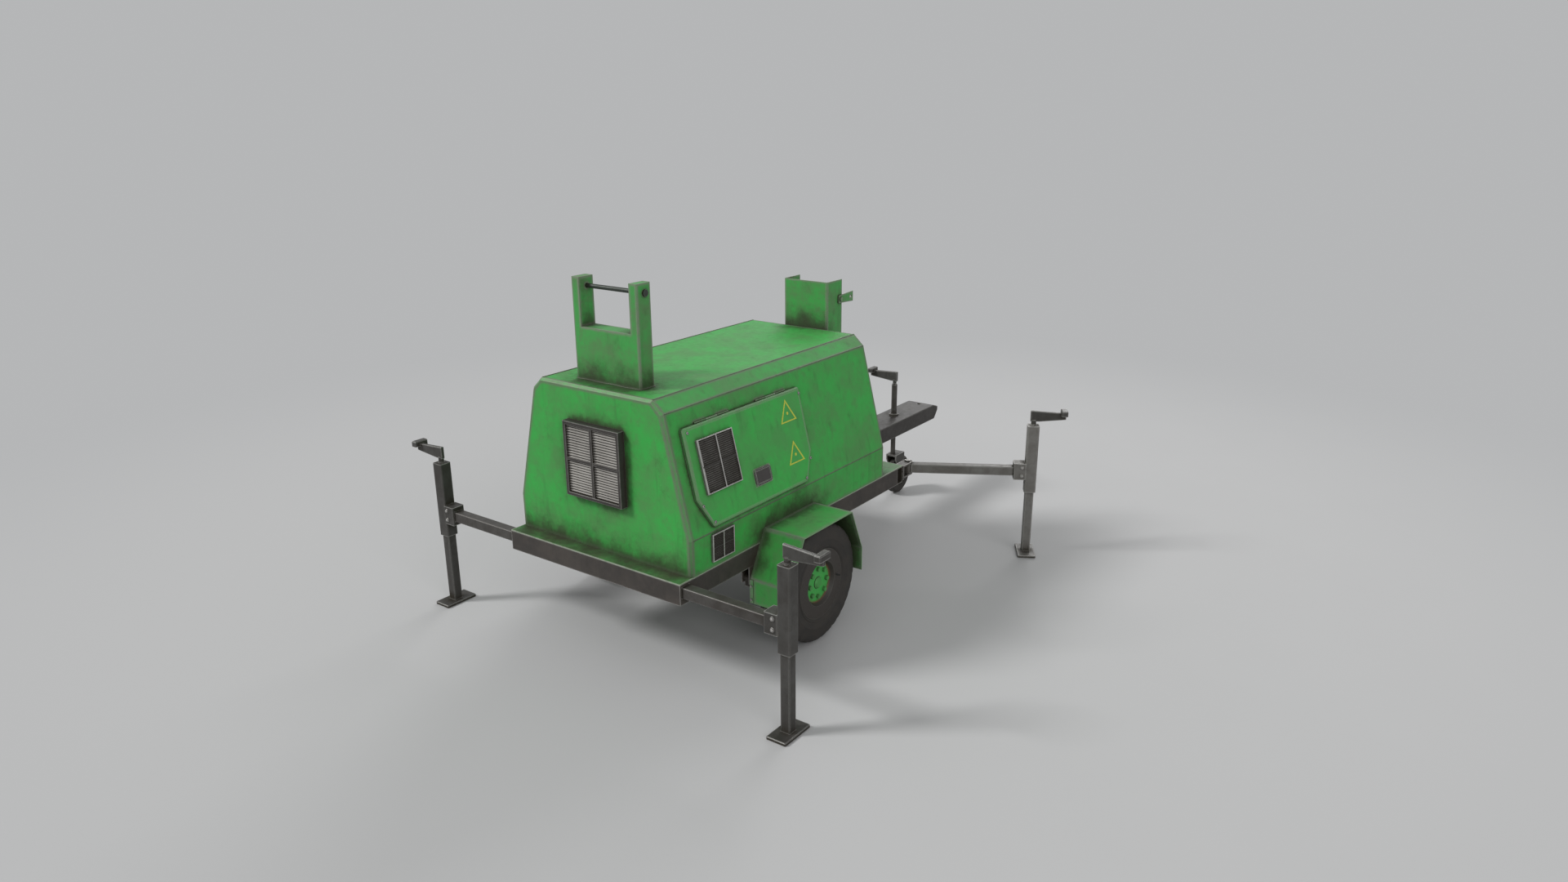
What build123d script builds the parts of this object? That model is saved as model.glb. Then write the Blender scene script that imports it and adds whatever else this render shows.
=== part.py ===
from build123d import *
import math
import os

os.makedirs("parts", exist_ok=True)

# ---------------------------------------------------------------------------
# Towable diesel generator. Millimetres, +X towards the drawbar, +Y to the
# left, +Z up. The pieces are modelled with the axle at x = 0 and written with
# the origin on the ground, under the middle of the whole object.
# Right-hand pieces (negative Y) are modelled and the left ones are mirrored.
# ---------------------------------------------------------------------------

# chassis
half_width = 630
chassis_rear = -931
chassis_front = 1299
deck_top = 635
deck_gauge = 5
frame_depth = 112
frame_wall = 5
rail_width = 60
cross_width = 84
front_cross_width = 70
spine_width = 200
slide_gap = 0.5  # clearance on each side of a square sliding tube
pin_gap = 0.05  # radial running clearance of every pin and shaft

frame_top = deck_top - deck_gauge
frame_mid = frame_top - frame_depth / 2
frame_bottom = frame_top - frame_depth
rail_y = half_width - rail_width / 2
cross_x = chassis_rear + cross_width / 2

# drawbar and jockey jack
drawbar_half = 113
drawbar_top = 640
drawbar_bottom = 525
drawbar_end = 2684
drawbar_nose = 68
drawbar_wall = 6
drawbar_bevel = 4
hitch_x = 2650
hitch_r = 16
jack_x = 2260
jack_r = 21
jack_top = 885
jack_bottom = 500
jack_inner_r = 18
jack_inner_bottom = 330
jack_inner_top = 700
jack_screw_r = 8
jack_screw_bottom = 516
jockey_trail = 80
jockey_r = 148
jockey_width = 60

# wheels, axle and springs
wheel_r = 345
wheel_y = 767
tyre_half = 102
seat_r = 190
flange_r = 206
rim_half = 78
dish_w = 92
disc_r = 116
disc_w = 66
disc_gauge = 10
stud_pcd_r = 84
stud_r = 8
stud_count = 8
spindle_r = 20
hub_r = 46
axle_size = 50
spring_half = 333
spring_width = 42
spring_gauge = 8
spring_sag = 19
spring_eye_r = 18
hanger_pin_r = 9

# mudguards
guard_outer = 900
guard_top = 707
guard_gauge = 5
guard_points = [(-358, 306), (-358, 450), (-227, guard_top), (252, guard_top), (366, 450), (366, 306)]

# outriggers and levelling legs
arm_size = 60
arm_wall = 5
arm_z = 585
rear_leg_y = 1265
rear_arm_inner = 450
front_pivot_x = 1413
front_pivot_y = 603
front_arm_length = 810
front_arm_splay = 60  # degrees from straight ahead
arm_pin_r = 12
leg_size = 75
leg_corner = 9
arm_corner = 5
inner_corner = 6
leg_bottom = 441
leg_top = 900
inner_size = 56
inner_wall = 4
inner_top = 581
foot_gauge = 16
foot_short = 117
foot_long = 212
screw_r = 10
screw_bottom = 495
nut_height = 15
clamp_length = 75
clamp_lap = 5  # how far the clamp's block reaches into the tube's wall
clamp_corner = 5
socket_floor = 15
cap_gauge = 8
boss_r = 20
boss_height = 6
clamp_half = 42
clamp_low = 531
clamp_high = 643
crank_height = 72
crank_length = 205
crank_gauge = 22
crank_taper = 14
crank_bevel = 3
grip_width = 38
grip_length = 88
grip_height = 34
grip_lap = 14
grip_setback = 12

# canopy
canopy_rear = -837
canopy_front = 1053
seam_z = 832
shoulder_z = 1471
shoulder_half = 469
roof_z = 1535
roof_half = 400
skin = 4
corner_bevel = 14

# side doors, in the plane of the sloping side: x along the side, s up the slope
door_rear = -743
door_front = 268
door_low = 24
door_top = 562
door_chamfer_x = 88
door_chamfer_s = 165
door_gap = 1
door_depth = 20
door_skin = 3
door_flange = 14
door_corner = 16
door_bevel = 6
hinge_r = 4.5
hinge_pin_r = 2
hinge_s = door_top + 5.5
hinge_offset = 5.5
hinge_web = 4
hinge_root = 4
grille_x = -527
grille_s = 340
grille_w = 285
grille_h = 288
latch_x = -203
latch_s = 170
latch_w = 139
latch_h = 88
latch_border = 9
latch_height = 7
paddle_gauge = 5
paddle_pin_r = 2
paddle_pin_offset = 3.5

# rear and lower grilles
rear_grille_half = 202
rear_grille_low = 927
rear_grille_high = 1343
rear_grille_depth = 45
lower_grille_x = -586
lower_grille_z = 742
lower_grille_w = 178
lower_grille_h = 153
lower_grille_depth = 12

# mast supports on top
mast_rear = -725
mast_depth = 104
mast_half = 231
mast_top = 2079
mast_sill = 1820
mast_post = 54
mast_wall = 6
mast_bevel = 5
cradle_bend = 10
mast_pin_r = 12
mast_pin_x = -667
mast_pin_z = 2029
cradle_x = 1080
cradle_half = 168
cradle_front = 1251
cradle_top = 1831
keeper_x = 1225
keeper_z = 1706
keeper_r = 8
keeper_gauge = 8
keeper_front = 1373
keeper_half_height = 33

# engine set
shaft_z = 900
engine_x = 120
engine_length = 520
engine_width = 260
alternator_r = 140
alternator_length = 380
silencer_y = 220
silencer_z = 1330
tail_r = 24


overall_rear = cross_x - foot_long / 2
overall_front = drawbar_end + drawbar_nose
origin_x = (overall_rear + overall_front) / 2


def finish(piece, name):
    """Label a piece and write it, with the origin under the middle of the whole object."""
    placed = piece.part.moved(Location((-origin_x, 0, 0)))
    placed.label = name
    export_step(placed, f"parts/{name}.step")


def hollow_rectangle(width, height, wall):
    """Section of a rectangular tube, for use inside a sketch."""
    Rectangle(width, height)
    Rectangle(width - 2 * wall, height - 2 * wall, mode=Mode.SUBTRACT)


def square_tube(size, wall, corner):
    """Section of a square tube with rounded outer corners."""
    RectangleRounded(size, size, corner)
    Rectangle(size - 2 * wall, size - 2 * wall, mode=Mode.SUBTRACT)


def square_socket(size, wall):
    """Section of a square sleeve that a tube of this size slides in."""
    opening = size + 2 * slide_gap
    hollow_rectangle(opening + 2 * wall, opening + 2 * wall, wall)


def twin(piece):
    """The same piece on the other side of the XZ plane."""
    with BuildPart() as other:
        mirror(piece.part, about=Plane.XZ)
    return other


# ---------------------------------------------------------------------------
# chassis frame, deck and drawbar
# ---------------------------------------------------------------------------
sleeve_wall = 5
sleeve_length = half_width - 120
end_plate = 8
front_cross_x = chassis_front - front_cross_width / 2
rail_start = chassis_rear + cross_width
rail_length = chassis_front - front_cross_width - rail_start
spring_eye_z = 440
hanger_depth = frame_bottom - spring_eye_z + 24

with BuildPart() as chassis_frame:
    with BuildSketch(Plane.YZ.offset(rail_start)):
        with Locations((-rail_y, frame_mid), (rail_y, frame_mid)):
            hollow_rectangle(rail_width, frame_depth, frame_wall)
    extrude(amount=rail_length)
    # rear crossmember, which houses the sliding outrigger arms
    with BuildSketch(Plane.XZ.offset(-half_width)):
        with Locations((cross_x, frame_mid)):
            hollow_rectangle(cross_width, frame_depth, frame_wall)
    extrude(amount=2 * half_width)
    for start in (-half_width, half_width - end_plate):
        with BuildSketch(Plane.XZ.offset(start)):
            with Locations((cross_x, frame_mid)):
                Rectangle(cross_width, frame_depth)
            with Locations((cross_x, arm_z)):
                Rectangle(arm_size + 2 * slide_gap, arm_size + 2 * slide_gap, mode=Mode.SUBTRACT)
        extrude(amount=end_plate)
    for start in (-half_width, half_width - sleeve_length):
        with BuildSketch(Plane.XZ.offset(start)):
            with Locations((cross_x, arm_z)):
                square_socket(arm_size, sleeve_wall)
        extrude(amount=sleeve_length)
    # front crossmember and the inner crossmembers over the spring ends
    with BuildSketch(Plane.XZ.offset(-half_width)):
        with Locations((front_cross_x, frame_mid)):
            hollow_rectangle(front_cross_width, frame_depth, frame_wall)
    extrude(amount=2 * half_width)
    with BuildSketch(Plane.XZ.offset(-half_width + rail_width)):
        with Locations((-spring_half, frame_mid), (spring_half, frame_mid)):
            hollow_rectangle(50, 90, frame_wall)
    extrude(amount=2 * (half_width - rail_width))
    # spine that carries the drawbar load back to the axle
    with BuildSketch(Plane.YZ.offset(spring_half + 25)):
        with Locations((0, frame_mid)):
            hollow_rectangle(spine_width, 90, frame_wall)
    extrude(amount=chassis_front - front_cross_width - spring_half - 25)
    # spring hangers: two cheeks and a pin at each spring eye
    cheek_y = spring_width / 2 + 4
    for x in (-spring_half, spring_half):
        for side in (-1, 1):
            with Locations(
                (x, side * rail_y - cheek_y, frame_bottom - hanger_depth / 2),
                (x, side * rail_y + cheek_y, frame_bottom - hanger_depth / 2),
            ):
                Box(56, 6, hanger_depth)
            with Locations((x, side * rail_y, spring_eye_z)):
                Cylinder(hanger_pin_r, 2 * cheek_y + 8, rotation=(90, 0, 0))
finish(chassis_frame, "chassis_frame")

with BuildPart() as deck_plate:
    with BuildSketch(Plane.XY.offset(frame_top)):
        with Locations(((chassis_rear + chassis_front) / 2, 0)):
            Rectangle(chassis_front - chassis_rear, 2 * half_width)
    extrude(amount=deck_gauge)
finish(deck_plate, "deck_plate")

with BuildPart() as drawbar:
    with BuildSketch(Plane.XZ.offset(-drawbar_half)):
        with BuildLine():
            Polyline(
                (chassis_front, drawbar_bottom),
                (drawbar_end + 18, drawbar_bottom),
                (drawbar_end + drawbar_nose, drawbar_bottom + 62),
                (drawbar_end + drawbar_nose, drawbar_top - 24),
                (drawbar_end, drawbar_top),
                (chassis_front, drawbar_top),
                close=True,
            )
        make_face()
    extrude(amount=2 * drawbar_half)
    side_faces = drawbar.faces().filter_by(Axis.Y)
    long_edges = side_faces.edges().filter_by(lambda edge: edge.center().X > chassis_front + 1)
    chamfer(long_edges, drawbar_bevel)
    # the bar is a welded box with a solid nose
    box_length = hitch_x - 60 - chassis_front
    with BuildSketch(Plane.YZ.offset(chassis_front)):
        with Locations((0, (drawbar_top + drawbar_bottom) / 2)):
            Rectangle(
                2 * (drawbar_half - drawbar_wall),
                drawbar_top - drawbar_bottom - 2 * drawbar_wall,
            )
    extrude(amount=box_length, mode=Mode.SUBTRACT)
    with Locations((hitch_x, 0, drawbar_bottom)):
        Cylinder(
            hitch_r,
            drawbar_top - drawbar_bottom,
            align=(Align.CENTER, Align.CENTER, Align.MIN),
            mode=Mode.SUBTRACT,
        )
    with Locations((jack_x, 0, drawbar_bottom)):
        Cylinder(
            jack_r + slide_gap,
            drawbar_top - drawbar_bottom,
            align=(Align.CENTER, Align.CENTER, Align.MIN),
            mode=Mode.SUBTRACT,
        )
finish(drawbar, "drawbar")

# ---------------------------------------------------------------------------
# axle, springs and wheels
# ---------------------------------------------------------------------------
axle_half = 635
spindle_length = 160

with BuildPart() as axle_beam:
    with Locations((0, 0, wheel_r)):
        Box(axle_size, 2 * axle_half, axle_size)
        Cylinder(spindle_r, 2 * (axle_half + spindle_length), rotation=(90, 0, 0))
finish(axle_beam, "axle_beam")

spring_base = wheel_r + axle_size / 2
leaf_halves = [110, 220, spring_half]

with BuildPart() as leaf_springs:
    for i, half in enumerate(leaf_halves):
        rise = spring_sag * (half / spring_half) ** 2
        low = spring_base + i * spring_gauge
        with BuildSketch(Plane.XZ.offset(rail_y - spring_width / 2)):
            with BuildLine():
                ThreePointArc((-half, low + rise), (0, low), (half, low + rise))
                Line((half, low + rise), (half, low + rise + spring_gauge))
                ThreePointArc(
                    (half, low + rise + spring_gauge),
                    (0, low + spring_gauge),
                    (-half, low + rise + spring_gauge),
                )
                Line((-half, low + rise + spring_gauge), (-half, low + rise))
            make_face()
        extrude(amount=spring_width)
    # spring eyes, joined to the ends of the top leaf
    with BuildSketch(Plane.XZ.offset(rail_y - spring_width / 2)):
        for x in (-spring_half, spring_half):
            with Locations((x, spring_eye_z)):
                Circle(spring_eye_r)
            with Locations((x, (spring_eye_z + spring_base + spring_sag) / 2)):
                Rectangle(2 * spring_gauge, spring_eye_z - spring_base - spring_sag)
    extrude(amount=spring_width)
    with BuildSketch(Plane.XZ.offset(rail_y - spring_width / 2)):
        with Locations((-spring_half, spring_eye_z), (spring_half, spring_eye_z)):
            Circle(hanger_pin_r + pin_gap)
    extrude(amount=spring_width, mode=Mode.SUBTRACT)
    mirror(about=Plane.XZ)
finish(leaf_springs, "leaf_springs")

# wheel sections are drawn with x as the radius and y outwards along the axle
wheel_plane = Plane(origin=(0, -wheel_y, wheel_r), x_dir=(1, 0, 0), z_dir=(0, 0, -1))
wheel_axis = Axis((0, 0, wheel_r), (0, 1, 0))
fit_gap = 0.2

with BuildPart() as tyre_right:
    with BuildSketch(wheel_plane):
        with BuildLine():
            Polyline(
                (seat_r, -rim_half),
                (seat_r, -rim_half + 16),
                (seat_r + 22, -rim_half + 4),
                (wheel_r - 34, -rim_half - 6),
                (wheel_r - 18, -rim_half + 16),
                (wheel_r - 18, rim_half - 16),
                (wheel_r - 34, rim_half + 6),
                (seat_r + 22, rim_half - 4),
                (seat_r, rim_half - 16),
                (seat_r, rim_half),
                (flange_r + fit_gap, rim_half),
                (flange_r + fit_gap, dish_w),
                (flange_r + 16, tyre_half),
                (wheel_r - 25, tyre_half),
                (wheel_r, tyre_half - 22),
                (wheel_r, 22 - tyre_half),
                (wheel_r - 25, -tyre_half),
                (flange_r + 16, -tyre_half),
                (flange_r + fit_gap, -dish_w),
                (flange_r + fit_gap, -rim_half),
                close=True,
            )
        make_face()
    revolve(axis=wheel_axis)
finish(tyre_right, "tyre_right")
finish(twin(tyre_right), "tyre_left")

with BuildPart() as rim_right:
    with BuildSketch(wheel_plane):
        with BuildLine():
            Polyline(
                (seat_r - fit_gap, -rim_half - fit_gap),
                (seat_r - fit_gap, rim_half + fit_gap),
                (flange_r, rim_half + fit_gap),
                (flange_r, dish_w),
                (disc_r + 16, dish_w),
                (disc_r, disc_w),
                (hub_r - 10, disc_w),
                (hub_r - 10, disc_w - disc_gauge),
                (disc_r + 2, disc_w - disc_gauge),
                (disc_r + 20, dish_w - 8),
                (seat_r - 8, dish_w - 8),
                (seat_r - 8, -dish_w),
                (flange_r, -dish_w),
                (flange_r, -rim_half - fit_gap),
                close=True,
            )
        make_face()
    revolve(axis=wheel_axis)
    with BuildSketch(Plane.XZ.offset(wheel_y + disc_w - disc_gauge)):
        with Locations((0, wheel_r)):
            with PolarLocations(stud_pcd_r, stud_count):
                Circle(stud_r + 0.5)
    extrude(amount=disc_gauge, mode=Mode.SUBTRACT)
finish(rim_right, "rim_right")
finish(twin(rim_right), "rim_left")

hub_back = disc_w - disc_gauge - fit_gap
nut_height_w = 15

with BuildPart() as hub_right:
    with BuildSketch(wheel_plane):
        with BuildLine():
            Polyline(
                (0, 45),
                (0, disc_w + 12),
                (24, disc_w + 12),
                (hub_r - 12, disc_w + 4),
                (hub_r - 12, hub_back),
                (stud_pcd_r + 18, hub_back),
                (stud_pcd_r + 18, hub_back - 12),
                (hub_r, hub_back - 12),
                (hub_r, -60),
                (spindle_r + pin_gap, -60),
                (spindle_r + pin_gap, 45),
                close=True,
            )
        make_face()
    revolve(axis=wheel_axis)
    with BuildSketch(Plane.XZ.offset(wheel_y + hub_back)):
        with Locations((0, wheel_r)):
            with PolarLocations(stud_pcd_r, stud_count):
                Circle(stud_r)
    extrude(amount=disc_w - hub_back)
    # wheel nuts, one closed nut on each stud
    with BuildSketch(Plane.XZ.offset(wheel_y + disc_w + fit_gap)):
        with Locations((0, wheel_r)):
            with PolarLocations(stud_pcd_r, stud_count):
                RegularPolygon(14, 6)
    extrude(amount=nut_height_w)
finish(hub_right, "hub_right")
finish(twin(hub_right), "hub_left")

# ---------------------------------------------------------------------------
# mudguards
# ---------------------------------------------------------------------------
guard_flange = 22
guard_bolt_r = 7
guard_bolt_z = (330, 410)

with BuildPart() as mudguards:
    with BuildSketch(Plane.XZ.offset(half_width)):
        with BuildLine() as guard_line:
            Polyline(*guard_points)
            offset(amount=guard_gauge, side=Side.RIGHT)
        make_face()
    extrude(amount=guard_outer - half_width)
    # inner flange against the side rail, and a bolted strap at the rear edge
    with Locations((12, -half_width - 2, (frame_bottom + guard_top) / 2)):
        Box(440, 4, guard_top - frame_bottom - 2 * guard_gauge)
    strap_x = guard_points[0][0] - 2
    with Locations((strap_x, -half_width - guard_flange / 2, 378)):
        Box(4, guard_flange, 140)
    mirror(about=Plane.XZ)
finish(mudguards, "mudguards")

with BuildPart() as mudguard_bolts:
    for z in guard_bolt_z:
        with BuildSketch(Plane.YZ.offset(strap_x - 2 - 5)):
            with Locations((-half_width - guard_flange / 2, z)):
                RegularPolygon(guard_bolt_r, 6)
        extrude(amount=5)
    mirror(about=Plane.XZ)
finish(mudguard_bolts, "mudguard_bolts")

# ---------------------------------------------------------------------------
# levelling legs: tube with clamp, inner leg with foot and nut, crank with screw
# ---------------------------------------------------------------------------


def leg_plane(x, y, heading):
    """Ground plane of a leg, with local x pointing away from the trailer."""
    direction = (math.cos(math.radians(heading)), math.sin(math.radians(heading)), 0)
    return Plane(origin=(x, y, 0), x_dir=direction, z_dir=(0, 0, 1))


def upright_plane(place):
    """Vertical plane through a leg: local x outwards, local y up."""
    out = place.x_dir
    return Plane(origin=place.origin, x_dir=out, z_dir=out.cross(Vector(0, 0, 1)))


def leg_tube(place):
    opening = inner_size + 2 * slide_gap
    with BuildPart() as tube:
        with BuildSketch(place.offset(leg_bottom)):
            RectangleRounded(leg_size, leg_size, leg_corner)
            Rectangle(opening, opening, mode=Mode.SUBTRACT)
        extrude(amount=leg_top - leg_bottom)
        with BuildSketch(place.offset(leg_top - cap_gauge)):
            RectangleRounded(leg_size, leg_size, leg_corner)
        extrude(amount=cap_gauge)
        with BuildSketch(place.offset(leg_top)):
            Circle(boss_r)
        extrude(amount=boss_height)
        with BuildSketch(place.offset(leg_top - cap_gauge)):
            Circle(screw_r + pin_gap)
        extrude(amount=cap_gauge + boss_height, mode=Mode.SUBTRACT)
        # clamp with a square socket for the end of the arm, overlapping the tube's wall
        with BuildSketch(place.offset(clamp_low)):
            with Locations((-leg_size / 2 - clamp_length / 2 + clamp_lap / 2, 0)):
                RectangleRounded(clamp_length + clamp_lap, 2 * clamp_half, clamp_corner)
        extrude(amount=clamp_high - clamp_low)
        socket = arm_size + 2 * slide_gap
        with BuildSketch(place.offset(arm_z - socket / 2)):
            with Locations((-leg_size / 2 - clamp_length / 2 - socket_floor, 0)):
                Rectangle(clamp_length, socket)
        extrude(amount=socket, mode=Mode.SUBTRACT)
    return tube


def leg_inner(place):
    with BuildPart() as leg:
        with BuildSketch(place):
            RectangleRounded(foot_short, foot_long, 8)
        extrude(amount=foot_gauge)
        chamfer(leg.faces().sort_by(Axis.Z)[-1].edges(), 3)
        with BuildSketch(place.offset(foot_gauge)):
            square_tube(inner_size, inner_wall, inner_corner)
        extrude(amount=inner_top - foot_gauge)
        with BuildSketch(place.offset(inner_top - nut_height)):
            Rectangle(inner_size - inner_wall, inner_size - inner_wall)
            Circle(screw_r + pin_gap, mode=Mode.SUBTRACT)
        extrude(amount=nut_height)
    return leg


def crank(place, base_z, rod_r, rod_bottom):
    """Crank handle on its lead screw."""
    tip = crank_length
    with BuildPart() as handle:
        with BuildSketch(upright_plane(place)):
            with BuildLine():
                Polyline(
                    (-22, base_z),
                    (34, base_z),
                    (tip, base_z + 16),
                    (tip, base_z + crank_height - crank_taper),
                    (-22, base_z + crank_height),
                    close=True,
                )
            make_face()
        extrude(amount=crank_gauge / 2, both=True)
        flat_faces = handle.faces().filter_by(Axis(place.origin, place.y_dir))
        chamfer(flat_faces.edges(), crank_bevel)
        with BuildSketch(place.offset(rod_bottom)):
            Circle(rod_r)
        extrude(amount=base_z + 10 - rod_bottom)
        with BuildSketch(place.offset(base_z - 20)):
            Circle(rod_r + 6)
        extrude(amount=30)
        # grip block lying across the end of the arm
        tip_top = base_z + crank_height - crank_taper
        with BuildSketch(place.offset(tip_top - grip_lap)):
            with Locations((tip - grip_setback, 0)):
                RectangleRounded(grip_width, grip_length, 6)
        extrude(amount=grip_height)
        chamfer(handle.faces().sort_by(Axis.Z)[-1].edges(), 5)
    return handle


rear_right = leg_plane(cross_x, -rear_leg_y, -90)
splay = math.radians(front_arm_splay)
front_leg_x = front_pivot_x + front_arm_length * math.cos(splay)
front_leg_y = front_pivot_y + front_arm_length * math.sin(splay)
front_right = leg_plane(front_leg_x, -front_leg_y, -front_arm_splay)
crank_base = leg_top + 27

for place, where in ((rear_right, "rear"), (front_right, "front")):
    tube = leg_tube(place)
    finish(tube, f"leg_tube_{where}_right")
    finish(twin(tube), f"leg_tube_{where}_left")
    inner = leg_inner(place)
    finish(inner, f"inner_leg_{where}_right")
    finish(twin(inner), f"inner_leg_{where}_left")
    handle = crank(place, crank_base, screw_r, screw_bottom)
    finish(handle, f"leg_crank_{where}_right")
    finish(twin(handle), f"leg_crank_{where}_left")

# the arm stops against the blind end of the clamp's socket
arm_stop = leg_size / 2 + socket_floor

with BuildPart() as rear_arm_right:
    with BuildSketch(Plane.XZ.offset(rear_arm_inner)):
        with Locations((cross_x, arm_z)):
            square_tube(arm_size, arm_wall, arm_corner)
    extrude(amount=rear_leg_y - arm_stop - rear_arm_inner)
finish(rear_arm_right, "rear_arm_right")
finish(twin(rear_arm_right), "rear_arm_left")

knuckle_r = 32
front_arm_start = 24
arm_section = Plane(
    origin=(front_pivot_x, -front_pivot_y, arm_z),
    x_dir=(math.sin(splay), math.cos(splay), 0),
    z_dir=(math.cos(splay), -math.sin(splay), 0),
)

with BuildPart() as front_arm_right:
    with BuildSketch(arm_section.offset(front_arm_start)):
        square_tube(arm_size, arm_wall, arm_corner)
    extrude(amount=front_arm_length - arm_stop - front_arm_start)
    with Locations((front_pivot_x, -front_pivot_y, arm_z)):
        Cylinder(knuckle_r, arm_size + 6)
        Cylinder(arm_pin_r + pin_gap, arm_size + 6, mode=Mode.SUBTRACT)
finish(front_arm_right, "front_arm_right")
finish(twin(front_arm_right), "front_arm_left")

ear_gauge = 10
ear_gap = arm_size / 2 + 4
bracket_reach = front_pivot_x - chassis_front
ear_half = 32

with BuildPart() as front_hinge_brackets:
    with Locations((chassis_front + 5, -front_pivot_y + 8, frame_mid + 8)):
        Box(10, 82, 96)
    for low in (arm_z + ear_gap, arm_z - ear_gap - ear_gauge):
        with BuildSketch(Plane.XY.offset(low)):
            with Locations((chassis_front + bracket_reach / 2, -front_pivot_y)):
                Rectangle(bracket_reach, 2 * ear_half)
            with Locations((front_pivot_x, -front_pivot_y)):
                Circle(ear_half)
                Circle(arm_pin_r + slide_gap, mode=Mode.SUBTRACT)
        extrude(amount=ear_gauge)
    mirror(about=Plane.XZ)
finish(front_hinge_brackets, "front_hinge_brackets")

pin_head = 8
pin_low = arm_z - ear_gap - ear_gauge - pin_head

with BuildPart() as front_hinge_pins:
    with BuildSketch(Plane.XY.offset(pin_low)):
        with Locations((front_pivot_x, -front_pivot_y)):
            Circle(arm_pin_r)
    extrude(amount=2 * (arm_z - pin_low))
    for low in (pin_low, 2 * arm_z - pin_low - pin_head):
        with BuildSketch(Plane.XY.offset(low)):
            with Locations((front_pivot_x, -front_pivot_y)):
                Circle(arm_pin_r + 7)
        extrude(amount=pin_head)
    mirror(about=Plane.XZ)
finish(front_hinge_pins, "front_hinge_pins")

# ---------------------------------------------------------------------------
# jockey jack on the drawbar
# ---------------------------------------------------------------------------
jack_place = leg_plane(jack_x, 0, 90)

with BuildPart() as jack_tube:
    with BuildSketch(jack_place.offset(jack_bottom)):
        Circle(jack_r)
        Circle(jack_inner_r + pin_gap, mode=Mode.SUBTRACT)
    extrude(amount=jack_top - jack_bottom)
    with BuildSketch(jack_place.offset(jack_top - 8)):
        Circle(jack_r)
        Circle(jack_screw_r + pin_gap, mode=Mode.SUBTRACT)
    extrude(amount=8)
    # collar that rests on the drawbar
    with BuildSketch(jack_place.offset(drawbar_top)):
        Circle(jack_r + 12)
        Circle(jack_r, mode=Mode.SUBTRACT)
    extrude(amount=14)
finish(jack_tube, "jack_tube")

with BuildPart() as jack_inner:
    with BuildSketch(jack_place.offset(jack_inner_bottom)):
        Circle(jack_inner_r)
    extrude(amount=jack_inner_top - jack_inner_bottom)
    with BuildSketch(jack_place.offset(jack_inner_bottom + 20)):
        Circle(jack_inner_r - 4)
    extrude(amount=jack_inner_top - jack_inner_bottom - 40, mode=Mode.SUBTRACT)
    with BuildSketch(jack_place.offset(jack_inner_top - 20)):
        Circle(jack_screw_r + pin_gap)
    extrude(amount=20, mode=Mode.SUBTRACT)
    with BuildSketch(jack_place.offset(jack_inner_bottom)):
        Circle(jack_screw_r + pin_gap)
    extrude(amount=12, mode=Mode.SUBTRACT)
finish(jack_inner, "jack_inner")

jack_crank = crank(jack_place, jack_top + 25, jack_screw_r, jack_screw_bottom)
finish(jack_crank, "jack_crank")

jockey_x = jack_x + jockey_trail
fork_top = jack_inner_bottom - 1
fork_gauge = 8
fork_inner = jockey_width / 2 + 5
jockey_axle_r = 8

with BuildPart() as jockey_fork:
    crown_length = jockey_trail + 50
    with Locations((jack_x + jockey_trail / 2, 0, fork_top - 6)):
        Box(crown_length, 2 * (fork_inner + fork_gauge), 12)
    with BuildSketch(Plane.XZ.offset(-fork_inner - fork_gauge)):
        with BuildLine():
            Polyline(
                (jack_x - 25, fork_top),
                (jack_x - 25, fork_top - 40),
                (jockey_x - 22, jockey_r),
                (jockey_x + 22, jockey_r),
                (jockey_x + 25, fork_top),
                close=True,
            )
        make_face()
        with Locations((jockey_x, jockey_r)):
            Circle(22)
    extrude(amount=2 * (fork_inner + fork_gauge))
    with BuildSketch(Plane.XZ.offset(-fork_inner)):
        with Locations((jockey_x, jockey_r)):
            Rectangle(600, 2 * (fork_top - 12 - jockey_r))
    extrude(amount=2 * fork_inner, mode=Mode.SUBTRACT)
    with Locations((jockey_x, 0, jockey_r)):
        Cylinder(jockey_axle_r, 2 * (fork_inner + fork_gauge) + 16, rotation=(90, 0, 0))
    with Locations((jack_x, 0, fork_top)):
        Cylinder(jack_screw_r, 12, align=(Align.CENTER, Align.CENTER, Align.MIN))
finish(jockey_fork, "jockey_fork")

with BuildPart() as jockey_wheel:
    with BuildSketch(Plane(origin=(jockey_x, 0, jockey_r), x_dir=(1, 0, 0), z_dir=(0, 0, -1))):
        with BuildLine():
            Polyline(
                (jockey_axle_r + pin_gap, -32),
                (jockey_axle_r + pin_gap, 32),
                (26, 32),
                (26, 12),
                (88, 12),
                (88, 28),
                (jockey_r - 18, 30),
                (jockey_r, 18),
                (jockey_r, -18),
                (jockey_r - 18, -30),
                (88, -28),
                (88, -12),
                (26, -12),
                (26, -32),
                close=True,
            )
        make_face()
    revolve(axis=Axis((jockey_x, 0, jockey_r), (0, 1, 0)))
finish(jockey_wheel, "jockey_wheel")

# ---------------------------------------------------------------------------
# canopy
# ---------------------------------------------------------------------------
slope_run = half_width - shoulder_half
slope_rise = shoulder_z - seam_z
slope_length = math.hypot(slope_run, slope_rise)
side_plane = Plane(
    origin=(0, -half_width, seam_z),
    x_dir=(1, 0, 0),
    z_dir=(0, -slope_rise / slope_length, slope_run / slope_length),
)


def canopy_section(inset):
    """Cross-section of the canopy, moved in by the sheet's thickness."""
    with BuildLine() as outline:
        Polyline(
            (-half_width + inset, deck_top),
            (-half_width + inset, seam_z),
            (-shoulder_half + inset, shoulder_z - inset / 2),
            (-roof_half + inset / 2, roof_z - inset),
            (roof_half - inset / 2, roof_z - inset),
            (shoulder_half - inset, shoulder_z - inset / 2),
            (half_width - inset, seam_z),
            (half_width - inset, deck_top),
            close=True,
        )
    make_face(outline.edges())


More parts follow.
